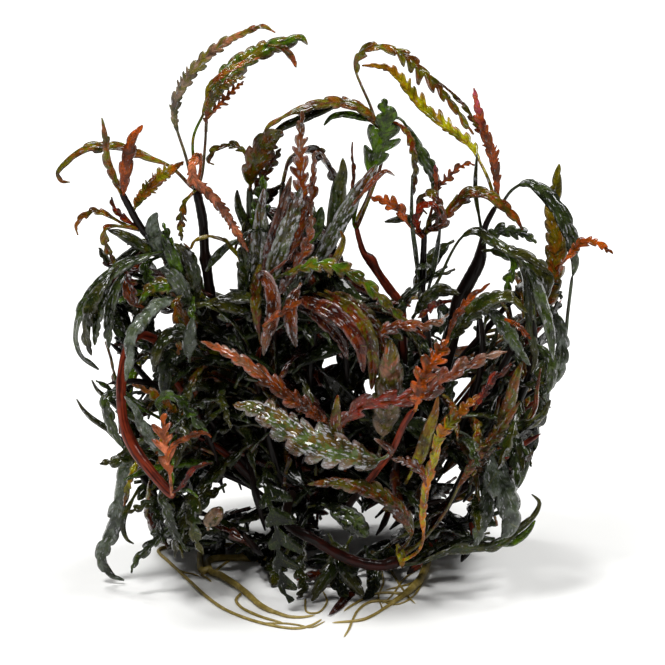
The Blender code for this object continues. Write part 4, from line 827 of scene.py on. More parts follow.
def directions(points):
    """Return the way a line runs at each of its points."""
    return unit(np.gradient(points[:, :3], axis=0))


class Growth:
    """Gathers the rings of tubes and blades that make one piece."""

    def __init__(self):
        self.places = []
        self.faces = []
        self.caps = []
        self.looks = []
        self.cap_looks = []
        self.place_marks = []
        self.growth_marks = []
        self.count = 0

    def add_rings(self, rings, look, place_marks, growth_marks):
        """Add a closed skin over rings of points, which all hold the same number of points."""
        stations, around = rings.shape[:2]
        first = self.count + np.arange(stations * around).reshape(stations, around)
        after = np.roll(first, -1, axis=1)
        quads = np.stack([first[:-1], after[:-1], after[1:], first[1:]], axis=-1).reshape(-1, 4)
        self.places.append(rings.reshape(-1, 3))
        self.place_marks.append(place_marks.reshape(-1, 3))
        self.growth_marks.append(growth_marks.reshape(-1, 3))
        self.faces.append(quads)
        self.looks += [look] * len(quads)
        self.caps.append(first[0][::-1])
        self.caps.append(first[-1])
        self.cap_looks += [look, look]
        self.count += stations * around

    def make_piece(self, name, materials):
        """Make one object of everything gathered, and return it."""
        names = sorted(set(self.looks))
        index_of = {look: index for index, look in enumerate(names)}
        quads = np.vstack(self.faces)
        corners = np.concatenate([quads.reshape(-1)] + self.caps)
        totals = np.array([4] * len(quads) + [len(cap) for cap in self.caps])
        starts = np.concatenate([[0], np.cumsum(totals)[:-1]])
        slots = np.array([index_of[look] for look in self.looks + self.cap_looks])
        places = np.vstack(self.places) * MM
        mesh = bpy.data.meshes.new(name)
        mesh.vertices.add(len(places))
        mesh.vertices.foreach_set("co", places.reshape(-1))
        mesh.loops.add(len(corners))
        mesh.loops.foreach_set("vertex_index", corners)
        mesh.polygons.add(len(totals))
        mesh.polygons.foreach_set("loop_start", starts)
        mesh.polygons.foreach_set("loop_total", totals)
        mesh.polygons.foreach_set("material_index", slots)
        mesh.polygons.foreach_set("use_smooth", np.ones(len(totals), dtype=bool))
        for label, marks in (("place", self.place_marks), ("growth", self.growth_marks)):
            attribute = mesh.attributes.new(label, "FLOAT_VECTOR", "POINT")
            attribute.data.foreach_set("vector", np.vstack(marks).reshape(-1))
        for look in names:
            mesh.materials.append(materials[look])
        mesh.update(calc_edges=True)
        mesh.validate()
        piece = bpy.data.objects.new(name, mesh)
        bpy.context.scene.collection.objects.link(piece)
        return piece


def blade_axes(points, turn, side):
    """Return the way a midrib runs, the way across its blade and its upper face's, at each point.

    The face is turned from the one toward the viewer, or where side is given, from the one above that side.
    """
    along = directions(points)
    if side is None:
        right = unit(np.cross(along, TOWARD_VIEWER))
        facing = np.cross(right, along)
    else:
        facing = unit(np.cross(along, side))
        right = np.cross(along, facing)
    face = facing * np.cos(turn)[:, None] + right * np.sin(turn)[:, None]
    return along, np.cross(along, face), face


def whole_leaf(small):
    """Return a small leaf as a leaf whose halves are alike."""
    return Leaf("", small.look, small.cut, (small.half, small.half), *small[3:])


def lay_on_ground(places):
    """Press whatever would sink into the ground flat on it, and keep the order of what lies over what."""
    low = places[..., 2] < LYING_HEIGHT
    pressed = LEAST_HEIGHT + (LYING_HEIGHT - LEAST_HEIGHT) * np.exp(
        np.minimum(places[..., 2] - LYING_HEIGHT, 0) / (LYING_HEIGHT - LEAST_HEIGHT))
    places[..., 2] = np.where(low, pressed, places[..., 2])


def blade_width(share):
    """Return a blade's half width at a share of its length, as a share of its widest."""
    return np.sin(np.pi * np.clip(share, 0, 1) ** 0.75) ** 0.6


def lobe_phase(blade, lobes, uneven, offset, chance):
    """Return which lobe each station is in, and how far along it, for lobes of uneven lengths."""
    steps = [1 + chance.uniform(-uneven, uneven) for _ in range(lobes + 2)]
    ends = np.concatenate([[0.0], np.cumsum(steps)]) * (lobes + 1) / sum(steps)
    return np.interp(blade * lobes + offset, ends, np.arange(lobes + 3))


def lobe_wave(phase, gap):
    """Return how far a round-ended lobe reaches, from its own start to its own end."""
    from_middle = np.abs(2 * (phase % 1.0) - 1) / (1 - gap)
    return np.clip(1 - from_middle ** 3, 0, 1) ** 0.6


def leaf_stations(leaf, length, columns):
    """Return the shares of its length at which a leaf is drawn, closer together on its blade."""
    stalk_steps = max(3, round(leaf.stalk * length / STALK_STATION))
    return np.concatenate([
        np.linspace(0, leaf.stalk, stalk_steps, endpoint=False),
        np.linspace(leaf.stalk, 1, leaf.lobes * STATIONS[columns] + 1)])


def leaf_lobes(leaf, cut, blade, rightward, chance):
    """Return the place in its lobe of each point of a blade, and how long and how tipped that lobe is."""
    phases = [lobe_phase(blade, leaf.lobes, cut.uneven * 0.7, offset, chance) for offset in LOBE_OFFSETS]
    phase = np.where(rightward, phases[1][:, None], phases[0][:, None])
    room = leaf.lobes + 3
    lengths = np.array([[1.05 - cut.uneven * chance.random() for _ in range(room)] for _ in range(2)])
    tilts = np.array([[chance.uniform(-1, 1) for _ in range(room)] for _ in range(2)])
    lobe = np.floor(phase).astype(int)
    which = rightward.astype(int) + np.zeros_like(lobe)
    return phase, lengths[which, lobe], tilts[which, lobe]


def skin_depth(sizes, shares, column, width, below, least, on_blade):
    """Return how far the skin of a leaf stands off its middle: thin blade, round stalk and midrib."""
    thin = sizes.blade_thickness / 2
    thickness = thin + (least * STALK_THICKNESS - thin) * (1 - on_blade)
    body = thickness * np.sqrt(np.clip(1 - column ** 2, 0, 1))
    midrib = sizes.midrib * (1 - MIDRIB_TAPER * shares[:, None])
    midrib = midrib * np.exp(-(column * width / MIDRIB_HALF_WIDTH) ** 2)
    return np.where(below > 0, -body - midrib, body + MIDRIB_ABOVE * midrib)


def add_leaf(growth, leaf, route, chance, sizes, columns=LEAF_COLUMNS, side=None):
    """Add one pinnate leaf with a round stalk, a raised midrib, puckered lobes and a thin edge."""
    cut = CUTS[leaf.cut]
    line = smooth_line(route)
    length = points_at(line, [1.0])[1]
    shares = leaf_stations(leaf, length, columns)
    points = points_at(line, shares)[0]
    blade = np.clip((shares - leaf.stalk) / (1 - leaf.stalk), 0, 1)
    on_blade = np.clip(blade * BLADE_OPENING, 0, 1)[:, None]
    twist = math.radians(chance.uniform(-LEAF_TWIST, LEAF_TWIST))
    turn = math.radians(leaf.turn) + twist * (shares - TWIST_MIDDLE)
    along, across, face = blade_axes(points, turn, side)

    # the upper columns run from the left edge to the right one, the lower ones back again
    upper = np.array(columns)
    lower = upper[-2:0:-1]
    column = np.concatenate([upper, lower])[None, :]
    below = np.concatenate([np.zeros(len(upper)), np.ones(len(lower))])[None, :]
    edge = np.abs(column)
    rightward = column >= 0

    # how far the lobes reach to each side
    phase, lengths, tilts = leaf_lobes(leaf, cut, blade, rightward, chance)
    wave = lobe_wave(phase, cut.gap)
    reach = (1 - cut.depth) + cut.depth * wave * lengths
    half = np.where(rightward, leaf.halves[1], leaf.halves[0])
    width = half * reach * blade_width(blade)[:, None]
    least = np.where(shares < 1, STALK_HALF_WIDTH, TIP_HALF_WIDTH)
    least = np.maximum(TIP_HALF_WIDTH, least * (1 - STALK_TAPER * shares))[:, None]
    width = np.sqrt(width ** 2 + least ** 2)
    lobe_length = length * (1 - leaf.stalk) / leaf.lobes
    lean = min(cut.lean, LEAN_ROOM * lobe_length / (cut.depth * max(leaf.halves) + 0.5))
    forward = lean * width * edge * on_blade

    # how far the blade stands up from its midrib: folded, rolled, puckered and with its lobes tipped
    from_vein = np.abs(phase % 1.0 - 0.5)
    pucker = cut.pucker * sizes.pucker * np.sin(np.pi * from_vein) * np.sin(np.pi * edge ** PUCKER_SHIFT)
    lift = (
        cut.fold * width * edge
        - cut.roll * width * edge ** 2 * ROLL_FULLNESS
        + on_blade * pucker
        + cut.ruffle * half * tilts * wave * edge ** 2 * blade_width(blade)[:, None]
    )
    lift = lift + skin_depth(sizes, shares, column, width, below, least, on_blade)

    rings = (
        points[:, None, :]
        + across[:, None, :] * (column * width)[..., None]
        + along[:, None, :] * forward[..., None]
        + face[:, None, :] * lift[..., None]
    )
    lay_on_ground(rings)

    # the marks that the leaf skin reads: places on the blade in millimetres, and how it has grown
    tone = chance.random()
    place_marks = np.broadcast_arrays(shares[:, None] * length, column * width + TONE_SPREAD * tone, edge)
    growth_marks = np.broadcast_arrays(shares[:, None], from_vein * lobe_length, tone + 2 * below)
    growth.add_rings(rings, leaf.look, np.stack(place_marks, axis=-1), np.stack(growth_marks, axis=-1))


def add_tube(growth, look, route, chance, ridges=0.05, sides_around=STEM_SIDES, station=STEM_STATION):
    """Add a round tube along points that carry a radius, both in millimetres, with a rounded tip."""
    line = smooth_line(route)
    length = points_at(line, [1.0])[1]
    steps = max(6, round(length / station))
    points = points_at(line, np.linspace(0, 1, steps + 1))[0]
    along = directions(points)
    across = unit(np.cross(along[0], UP + (0.01, 0.02, 0)))
    sides = []
    for way in along:
        across = unit(across - way * np.dot(across, way))
        sides.append(across)
    sides = np.array(sides)
    over = np.cross(along, sides)
    angle = np.linspace(0, 2 * np.pi, sides_around, endpoint=False)[None, :]
    wobble = np.array([chance.uniform(0.95, 1.05) for _ in points])[:, None]
    tip = np.sqrt(np.clip(1 - (np.arange(steps + 1) / steps) ** (steps * 0.9), 0.0, 1))[:, None]
    radius = points[:, 3:4] * wobble * np.maximum(tip, 0.12) * (1 + ridges * np.cos(4 * angle))
    rings = (
        points[:, None, :3]
        + sides[:, None, :] * (radius * np.cos(angle))[..., None]
        + over[:, None, :] * (radius * np.sin(angle))[..., None]
    )
    share = np.linspace(0, 1, steps + 1)[:, None]
    place_marks = np.stack([
        np.broadcast_to(share * length, radius.shape), radius * np.cos(angle), radius * np.sin(angle)],
        axis=-1)
    growth_marks = np.stack([
        np.broadcast_to(share, radius.shape), angle / (2 * np.pi) + np.zeros_like(radius),
        np.full(radius.shape, chance.random())], axis=-1)
    growth.add_rings(rings, look, place_marks, growth_marks)


def inside_outline(across, seen):
    """Return whether a point of the front view lies inside the dense part's outline."""
    inside = False
    for (x1, y1), (x2, y2) in zip(OUTLINE, OUTLINE[1:] + OUTLINE[:1]):
        if (y1 > seen) != (y2 > seen) and across < x1 + (seen - y1) * (x2 - x1) / (y2 - y1):
            inside = not inside
    return inside


def fits(points, half, front=FRONT_LIMIT):
    """Return whether a leaf this wide along these points stays in the dense part and clear of its gaps."""
    from_middle = (np.abs((points - DOME_MIDDLE) / DOME_HALVES) ** DOME_FULLNESS).sum(axis=1)
    if np.any((points[:, 1] > DOME_MIDDLE[1]) & (from_middle > 1)):
        return False
    for across, back, seen in zip(points[:, 0], points[:, 1], seen_height(points)):
        if back < front or not inside_outline(across, seen):
            return False
        hollow = math.hypot(
            (across - HOLLOW_MIDDLE[0]) / HOLLOW_HALVES[0], (seen - HOLLOW_MIDDLE[1]) / HOLLOW_HALVES[1])
        if hollow < 1 and back < HOLLOW_FRONT:
            return False
        for gap in GAPS:
            if math.hypot(across - gap.across, seen - gap.seen) < gap.radius + 0.6 * half:
                return False
    return True


def grow_route(start, way, length, droop, wander, chance):
    """Return the points of a leaf or shoot that sets out one way and bends down under its weight."""
    steps = 9
    spot = np.array(start, dtype=float)
    way = unit(np.array(way, dtype=float))
    bend = np.array([chance.uniform(-wander, wander) for _ in range(3)])
    points = [spot.copy()]
    for step in range(steps):
        way = unit(way + (bend - UP * droop * (0.4 + step / steps)) / steps)
        spot = spot + way * length / steps
        spot[2] = max(spot[2], LYING_HEIGHT)
        points.append(spot.copy())
    return np.array(points)


def add_shoot(growth, thicket, chance, sizes):
    """Add one shoot of a thicket, with its leaves in crossed pairs as far as they fit."""
    start = np.array([middle + chance.uniform(-1, 1) * spread
                      for middle, spread in zip(thicket.middle, thicket.spread)])
    start[2] = max(start[2], 2.0)
    outward = unit((start - THICKET_MIDDLE) * (1, 1, 0.3))
    way = outward * chance.uniform(0.2, 0.9) + UP * chance.uniform(0.3, 1.1)
    route = grow_route(start, way, thicket.rise * chance.uniform(0.5, 1.0), 0.5, 0.9, chance)
    while len(route) > 3 and not fits(route[-3:], 2.0):
        route = route[:-1]
    if len(route) < 4:
        return
    radii = np.interp(np.linspace(0, 1, len(route)), SHOOT_SHARES, SHOOT_RADII)[:, None]
    add_tube(growth, "stem_" + chance.choice(["dark", "dark", "red"]), np.hstack([route, radii]), chance,
             sides_around=THIN_STEM_SIDES, station=THIN_STEM_STATION)
    line = smooth_line(route)
    length = points_at(line, [1.0])[1]
    nodes = max(2, round(length / NODE_SPACING))
    looks = thicket.looks.split()
    spin = chance.uniform(0, math.pi)
    for node in range(nodes):
        share = 0.1 + 0.9 * node / (nodes - 1)
        place = points_at(line, [share])[0][0]
        axis = directions(points_at(line, [max(share - 0.05, 0), share])[0])[0]
        flat = unit(np.cross(axis, UP + (0.03, 0.01, 0)))
        other = np.cross(axis, flat)
        for leaf_side in (0, math.pi):
            angle = spin + node * math.pi / 2 + leaf_side
            away = flat * math.cos(angle) + other * math.sin(angle)
            away = unit(away + outward * 0.7)
            for _ in range(LEAF_TRIES):
                size = chance.uniform(*SHOOT_LEAF_LENGTHS)
                half = size * chance.uniform(*SLIM_LEAF)
                points = grow_route(
                    place, away * chance.uniform(0.6, 1) + axis * 0.6, size, chance.uniform(0.6, 2.6), 0.8,
                    chance)
                if fits(points[2:], half):
                    break
            else:
                continue
            add_mass_leaf(growth, points, size, half, looks, chance, sizes)


def add_mass_leaf(growth, points, size, half, looks, chance, sizes):
    """Add one leaf of a thicket along these points, its face up."""
    across = unit(np.cross(UP, points[-1] - points[0]))
    cut = chance.choice(MASS_CUTS)
    look = chance.choice(looks)
    turn = chance.uniform(-25, 25)
    leaf = Leaf("", look, cut, (half, half), turn, max(4, round(size / LOBE_SPACING)), 0.14, None)
    add_leaf(growth, leaf, points, chance, sizes, MASS_COLUMNS, across)


def add_inner_leaves(growth, thicket, chance, sizes):
    """Fill the inside of a thicket with dark leaves that run every way, most of them near-black as painted
    shade.
    """
    for _ in range(thicket.inner):
        start = [middle + chance.uniform(-1, 1) * spread
                 for middle, spread in zip(thicket.middle, thicket.inner_spread)]
        start[2] = chance.uniform(2.0, thicket.inner_spread[2])
        way = [chance.uniform(-1, 1), chance.uniform(-1, 1), chance.uniform(-0.4, 0.9)]
        size = chance.uniform(*INNER_LEAF_LENGTHS)
        half = size * chance.uniform(*BROAD_LEAF)
        points = grow_route(start, way, size, chance.uniform(0, 1.6), 0.8, chance)
        if not fits(points, half):
            continue
        across = unit(np.cross(UP, points[-1] - points[0]))
        look = chance.choice(INNER_LOOKS)
        leaf = Leaf("", look, "shallow", (half, half), chance.uniform(-60, 60), 4, 0.1, None)
        add_leaf(growth, leaf, points, chance, sizes, INNER_COLUMNS, across)


def add_fringe(growth, thicket, chance, sizes):
    """Let some leaves at the outer side of a thicket reach forward."""
    side = math.copysign(1, thicket.middle[0])
    looks = thicket.looks.split()
    for _ in range(thicket.fringe):
        across = side * chance.uniform(*FRINGE_ACROSS)
        start = [across, chance.uniform(*FRINGE_BACK), chance.uniform(*FRINGE_HEIGHT)]
        way = [side * chance.uniform(-0.1, 0.6), -1, chance.uniform(0.0, 0.9)]
        size = chance.uniform(*FRINGE_LEAF_LENGTHS)
        half = size * chance.uniform(*SLIM_LEAF)
        points = grow_route(start, way, size, chance.uniform(0.6, 2.6), 0.8, chance)
        if fits(points, half, FRINGE_FRONT):
            add_mass_leaf(growth, points, size, half, looks, chance, sizes)


def add_node(tree, kind, settings=None, links=None):
    """Add a node with its settings, and with links into its inputs."""
    node = tree.nodes.new(kind)
    for key, value in (settings or {}).items():
        if isinstance(key, int) or key in node.inputs:
            node.inputs[key].default_value = value
        else:
            setattr(node, key, value)
    for key, source in (links or {}).items():
        tree.links.new(source, node.inputs[key])
    return node


def new_material(name):
    """Return a new empty node material, its tree and its shader, wired to the output."""
    material = bpy.data.materials.new(name)
    material.use_nodes = True
    tree = material.node_tree
    tree.nodes.clear()
    shader = add_node(tree, "ShaderNodeBsdfPrincipled")
    add_node(tree, "ShaderNodeOutputMaterial", links={"Surface": shader.outputs["BSDF"]})
    return material, tree, shader


def blend_colours(tree, share, first, second):
    """Return the colour between two, each one a colour or an output of a node."""
    node = add_node(tree, "ShaderNodeMix", {"data_type": "RGBA"}, {0: share})
    for key, colour in ((6, first), (7, second)):
        if isinstance(colour, bpy.types.NodeSocket):
            tree.links.new(colour, node.inputs[key])
        else:
            node.inputs[key].default_value = (*colour, 1.0)
    return node.outputs[2]


def ramp(tree, value, low, high, first=0.0, last=1.0):
    """Return a value taken smoothly from one range to another."""
    settings = {"interpolation_type": "SMOOTHSTEP", 1: low, 2: high, 3: first, 4: last}
    return add_node(tree, "ShaderNodeMapRange", settings, {0: value}).outputs[0]


def multiply(tree, first, second):
    """Return the product of two values, the second one a number or an output of a node."""
    node = add_node(tree, "ShaderNodeMath", {"operation": "MULTIPLY"}, {0: first})
    if isinstance(second, bpy.types.NodeSocket):
        tree.links.new(second, node.inputs[1])
    else:
        node.inputs[1].default_value = second
    return node.outputs[0]


def blade_colour(tree, look, colours, patches, speckle, edge, share, side_vein, tone):
    """Return the dry colour of a blade: mottled and veined, with its own margin, tip and back."""
    patch = ramp(tree, patches, 0.45, 0.56)
    at_edge = multiply(tree, ramp(tree, edge, 0.55, 1.0), ramp(tree, patches, 0.3, 0.6, 0.2, 1.0))
    at_tip = multiply(tree, ramp(tree, share, 0.6, 1.0), 0.8)
    blade = blend_colours(tree, at_tip, colours[look.blade], colours[look.tip])
    blade = blend_colours(tree, multiply(tree, patch, look.mottle), blade, colours[look.margin])
    blade = blend_colours(tree, multiply(tree, at_edge, 0.6), blade, colours[look.margin])
    speckled = multiply(tree, ramp(tree, speckle, 0.55, 0.8), 0.30)
    paler = blend_colours(tree, speckled, blade, colours["pale_vein"])
    veined = blend_colours(tree, multiply(tree, side_vein, 0.22), paler, colours["pale_vein"])
    underside = ramp(tree, tone, 1.4, 1.6)
    return blend_colours(tree, multiply(tree, underside, 0.7), veined, colours[look.back])


def painted_glints(tree, look, colours, toned, streaks, clouds, edge, side_vein):
    """Return a blade's colour with painted grey highlights of its wet skin, between its veins and at its
    margin.
    """
    # painted highlights: grey mixed into the colour where the streaks run high, away from the side veins
    start = 0.62 - 0.10 * look.glint
    full = start + 0.06 + 0.07 * look.glint
    painted_shine = multiply(tree, ramp(tree, streaks, start, full), 0.40 + 0.42 * look.glint)
    painted_shine = multiply(tree, painted_shine, ramp(tree, edge, 0.02, 0.14))
    painted_shine = multiply(tree, painted_shine, ramp(tree, side_vein, 0.2, 0.9, 1.0, 0.3))
    glinting = blend_colours(tree, painted_shine, toned, colours["painted_shine"])
    # painted highlight: the rolled margin is greyer in places, where its sheen would lie
    painted_rim_highlight = multiply(tree, ramp(tree, edge, 0.55, 0.95), ramp(tree, clouds, 0.42, 0.58))
    return blend_colours(tree, multiply(tree, painted_rim_highlight, 0.45 * look.glint), glinting, colours["painted_shine"])


def leaf_relief(tree, place, patches, streaks, side_vein):
    """Return the normal of a blade that is quilted between its finest veins, about 1 mm apart."""
    quilt = add_node(
        tree, "ShaderNodeTexVoronoi", {"Scale": 0.95, "feature": "SMOOTH_F1"}, {"Vector": place})
    quilted = multiply(tree, quilt.outputs["Distance"], -0.6)
    crinkle = add_node(tree, "ShaderNodeMath", {"operation": "ADD"},
                       {0: quilted, 1: multiply(tree, patches, 1.0)})
    creased = add_node(tree, "ShaderNodeMath", {"operation": "ADD"},
                       {0: crinkle.outputs[0], 1: multiply(tree, streaks, 1.3)})
    height = add_node(tree, "ShaderNodeMath", {"operation": "SUBTRACT"},
                      {0: creased.outputs[0], 1: multiply(tree, side_vein, 0.5)})
    bump = add_node(tree, "ShaderNodeBump", {"Strength": 1.0, "Distance": 0.0008},
                    {"Height": height.outputs[0]})
    return bump.outputs["Normal"]


def leaf_skin(name, look, colours):
    """Living leaf blade, wet: a thin waxy skin with sharp small lights over a mottled, veined blade with
    painted grey glints.
    """
    material, tree, shader = new_material(name)
    place = add_node(tree, "ShaderNodeAttribute", {"attribute_name": "place"}).outputs["Vector"]
    growth = add_node(tree, "ShaderNodeAttribute", {"attribute_name": "growth"}).outputs["Vector"]
    edge = add_node(tree, "ShaderNodeSeparateXYZ", links={0: place}).outputs[2]
    share, from_vein, tone = add_node(tree, "ShaderNodeSeparateXYZ", links={0: growth}).outputs
    side_vein = ramp(tree, from_vein, 0.10, 0.42, 1.0, 0.0)

    # patches 3 mm across, speckles under 1 mm and clouds 8 mm across, in the blade's own millimetres
    patches = add_node(tree, "ShaderNodeTexNoise", {"Scale": 0.32, "Detail": 3.0, "Roughness": 0.6},
                       {"Vector": place}).outputs["Fac"]
    speckle = add_node(tree, "ShaderNodeTexNoise", {"Scale": 1.7, "Detail": 2.0, "Roughness": 0.7},
                       {"Vector": place}).outputs["Fac"]
    clouds = add_node(tree, "ShaderNodeTexNoise", {"Scale": 0.13, "Detail": 3.0, "Roughness": 0.7},
                      {"Vector": place}).outputs["Fac"]
    # streaks 0.8 mm wide that run 2 mm along the blade: they crease the blade and place its painted glints
    stretched = add_node(tree, "ShaderNodeVectorMath", {"operation": "MULTIPLY", 1: (0.46, 1.2, 0.6)},
                         {0: place})
    streaks = add_node(tree, "ShaderNodeTexNoise", {"Scale": 1.0, "Detail": 3.0, "Roughness": 0.6},
                       {"Vector": stretched.outputs[0]}).outputs["Fac"]

    # each leaf has its own depth of colour, and the clouds darken it in places
    dry = blade_colour(tree, look, colours, patches, speckle, edge, share, side_vein, tone)
    random_tone = add_node(tree, "ShaderNodeMath", {"operation": "FRACT"}, {0: tone})
    bright = multiply(tree, ramp(tree, random_tone.outputs[0], 0.0, 1.0, 0.7, 1.25),
                      ramp(tree, clouds, 0.36, 0.62, 0.35, 1.45))
    toned = add_node(tree, "ShaderNodeHueSaturation", {"Saturation": 1.08}, {"Color": dry, "Value": bright})
    final = painted_glints(tree, look, colours, toned.outputs["Color"], streaks, clouds, edge, side_vein)
    tree.links.new(final, shader.inputs["Base Color"])

    rough = ramp(tree, speckle, 0.3, 0.75, look.roughness - 0.10, look.roughness + 0.16)
    tree.links.new(rough, shader.inputs["Roughness"])
    tree.links.new(leaf_relief(tree, place, patches, streaks, side_vein), shader.inputs["Normal"])
    shader.inputs["IOR"].default_value = 1.36
    shader.inputs["Specular IOR Level"].default_value = 0.06
    shader.inputs["Coat Weight"].default_value = min(1.0, 0.45 + 0.75 * look.glint)
    shader.inputs["Coat Roughness"].default_value = 0.07
    shader.inputs["Coat IOR"].default_value = 1.38
    return material


def stem_skin(name, colour, second, dark):
    """Soft plant stem, wet: smooth and glossy, streaked lengthwise and darker in patches."""
    material, tree, shader = new_material(name)
    place = add_node(tree, "ShaderNodeAttribute", {"attribute_name": "place"})
    # streaks 0.8 mm wide that run 8 mm along the stem
    stretched = add_node(tree, "ShaderNodeVectorMath", {"operation": "MULTIPLY", 1: (0.12, 1.2, 1.2)},
                         {0: place.outputs["Vector"]})
    streaks = add_node(tree, "ShaderNodeTexNoise", {"Scale": 1.0, "Detail": 3.0},
                       {"Vector": stretched.outputs[0]})
    # patches 5 mm long
    patches = add_node(tree, "ShaderNodeTexNoise", {"Scale": 0.2, "Detail": 2.0},
                       {"Vector": place.outputs["Vector"]})
    streaked = blend_colours(tree, ramp(tree, streaks.outputs["Fac"], 0.40, 0.66), colour, second)
    patched = blend_colours(tree, multiply(tree, ramp(tree, patches.outputs["Fac"], 0.45, 0.7), 0.6),
                            streaked, second)
    # a stem is dark along the first part of its length, deep in the clump, and keeps its own colour toward
    # the tip
    growth = add_node(tree, "ShaderNodeAttribute", {"attribute_name": "growth"})
    grown = add_node(tree, "ShaderNodeSeparateXYZ", links={0: growth.outputs["Vector"]})
    final = blend_colours(tree, ramp(tree, grown.outputs[0], 0.36, 0.60, 0.95, 0.0), patched, dark)
    tree.links.new(final, shader.inputs["Base Color"])
    rough = ramp(tree, streaks.outputs["Fac"], 0.3, 0.7, 0.40, 0.56)
    tree.links.new(rough, shader.inputs["Roughness"])
    bump = add_node(tree, "ShaderNodeBump", {"Strength": 0.8, "Distance": 0.0005},
                    {"Height": streaks.outputs["Fac"]})
    tree.links.new(bump.outputs["Normal"], shader.inputs["Normal"])
    shader.inputs["Specular IOR Level"].default_value = 0.05
    shader.inputs["Coat Weight"].default_value = 0.30
    shader.inputs["Coat Roughness"].default_value = 0.08
    shader.inputs["Coat IOR"].default_value = 1.38
    return material


def root_skin(name, colour, pale):
    """Aerial root: dull olive bark-like skin with pale worn stretches and growing ends."""
    material, tree, shader = new_material(name)
    place = add_node(tree, "ShaderNodeAttribute", {"attribute_name": "place"})
    growth = add_node(tree, "ShaderNodeAttribute", {"attribute_name": "growth"})
    grown = add_node(tree, "ShaderNodeSeparateXYZ", links={0: growth.outputs["Vector"]})
    # worn stretches 2 mm long
    worn = add_node(tree, "ShaderNodeTexNoise", {"Scale": 0.5, "Detail": 4.0, "Roughness": 0.65},
                    {"Vector": place.outputs["Vector"]})
    blended = blend_colours(tree, ramp(tree, worn.outputs["Fac"], 0.45, 0.72), colour, pale)
    final = blend_colours(tree, ramp(tree, grown.outputs[0], 0.86, 1.0), blended, pale)
    tree.links.new(final, shader.inputs["Base Color"])
    tree.links.new(ramp(tree, worn.outputs["Fac"], 0.3, 0.7, 0.34, 0.6), shader.inputs["Roughness"])
    bump = add_node(tree, "ShaderNodeBump", {"Strength": 0.5, "Distance": 0.0002},
                    {"Height": worn.outputs["Fac"]})
    tree.links.new(bump.outputs["Normal"], shader.inputs["Normal"])
    return material


def floor_paper(name, colour):
    """Matt studio paper: pale and even, with the faintest cloudiness."""
    material, tree, shader = new_material(name)
    spot = add_node(tree, "ShaderNodeTexCoord")
    # clouds 17 cm across
    clouds = add_node(tree, "ShaderNodeTexNoise", {"Scale": 6.0, "Detail": 2.0},
                      {"Vector": spot.outputs["Object"]})
    darker = tuple(part * 0.985 for part in colour)
    tree.links.new(blend_colours(tree, clouds.outputs["Fac"], colour, darker), shader.inputs["Base Color"])
    tree.links.new(ramp(tree, clouds.outputs["Fac"], 0.3, 0.7, 0.85, 0.95), shader.inputs["Roughness"])
    shader.inputs["Specular IOR Level"].default_value = 0.1
    return material


def palette(context):
    """Return the colours that the user has set, by name."""
    chosen = context.scene.clump_colours
    return {name: tuple(getattr(chosen, name)) for name in COLOURS}


def shared_materials(context):
    """Return the materials of all leaves, stems and roots, made once."""
    colours = palette(context)
    materials = {}
    for name, look in LOOKS.items():
        label = "leaf_skin_" + name
        materials[name] = bpy.data.materials.get(label) or leaf_skin(label, look, colours)
    for name, (_, colour, second) in STEM_LOOKS.items():
        label = "stem_skin_" + name
        old = bpy.data.materials.get(label)
        materials["stem_" + name] = old or stem_skin(
            label, colours[colour], colours[second], colours["stem_black"])
    old = bpy.data.materials.get("root_skin")
    materials["root"] = old or root_skin("root_skin", colours["root_olive"], colours["root_pale"])
    return materials


def finish_piece(growth, name, nodes, context):
    """Make a piece of what has grown, and say what it rides on, replaces and takes its finish from."""
    piece = growth.make_piece(name, shared_materials(context))
    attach(piece, "root")
    if nodes:
        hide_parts(*nodes)
    return piece


def grow_leaves(leaves, context):
    """Grow each leaf of a list as a piece that replaces its solid."""
    sizes = context.scene.clump_sizes
    for leaf in leaves:
        chance = random.Random("leaf " + leaf.name)
        growth = Growth()
        add_leaf(growth, leaf, [seen_place(*point) for point in leaf.route], chance, sizes)
        finish_piece(growth, "blade_" + leaf.name, ["leaf_" + leaf.name], context)


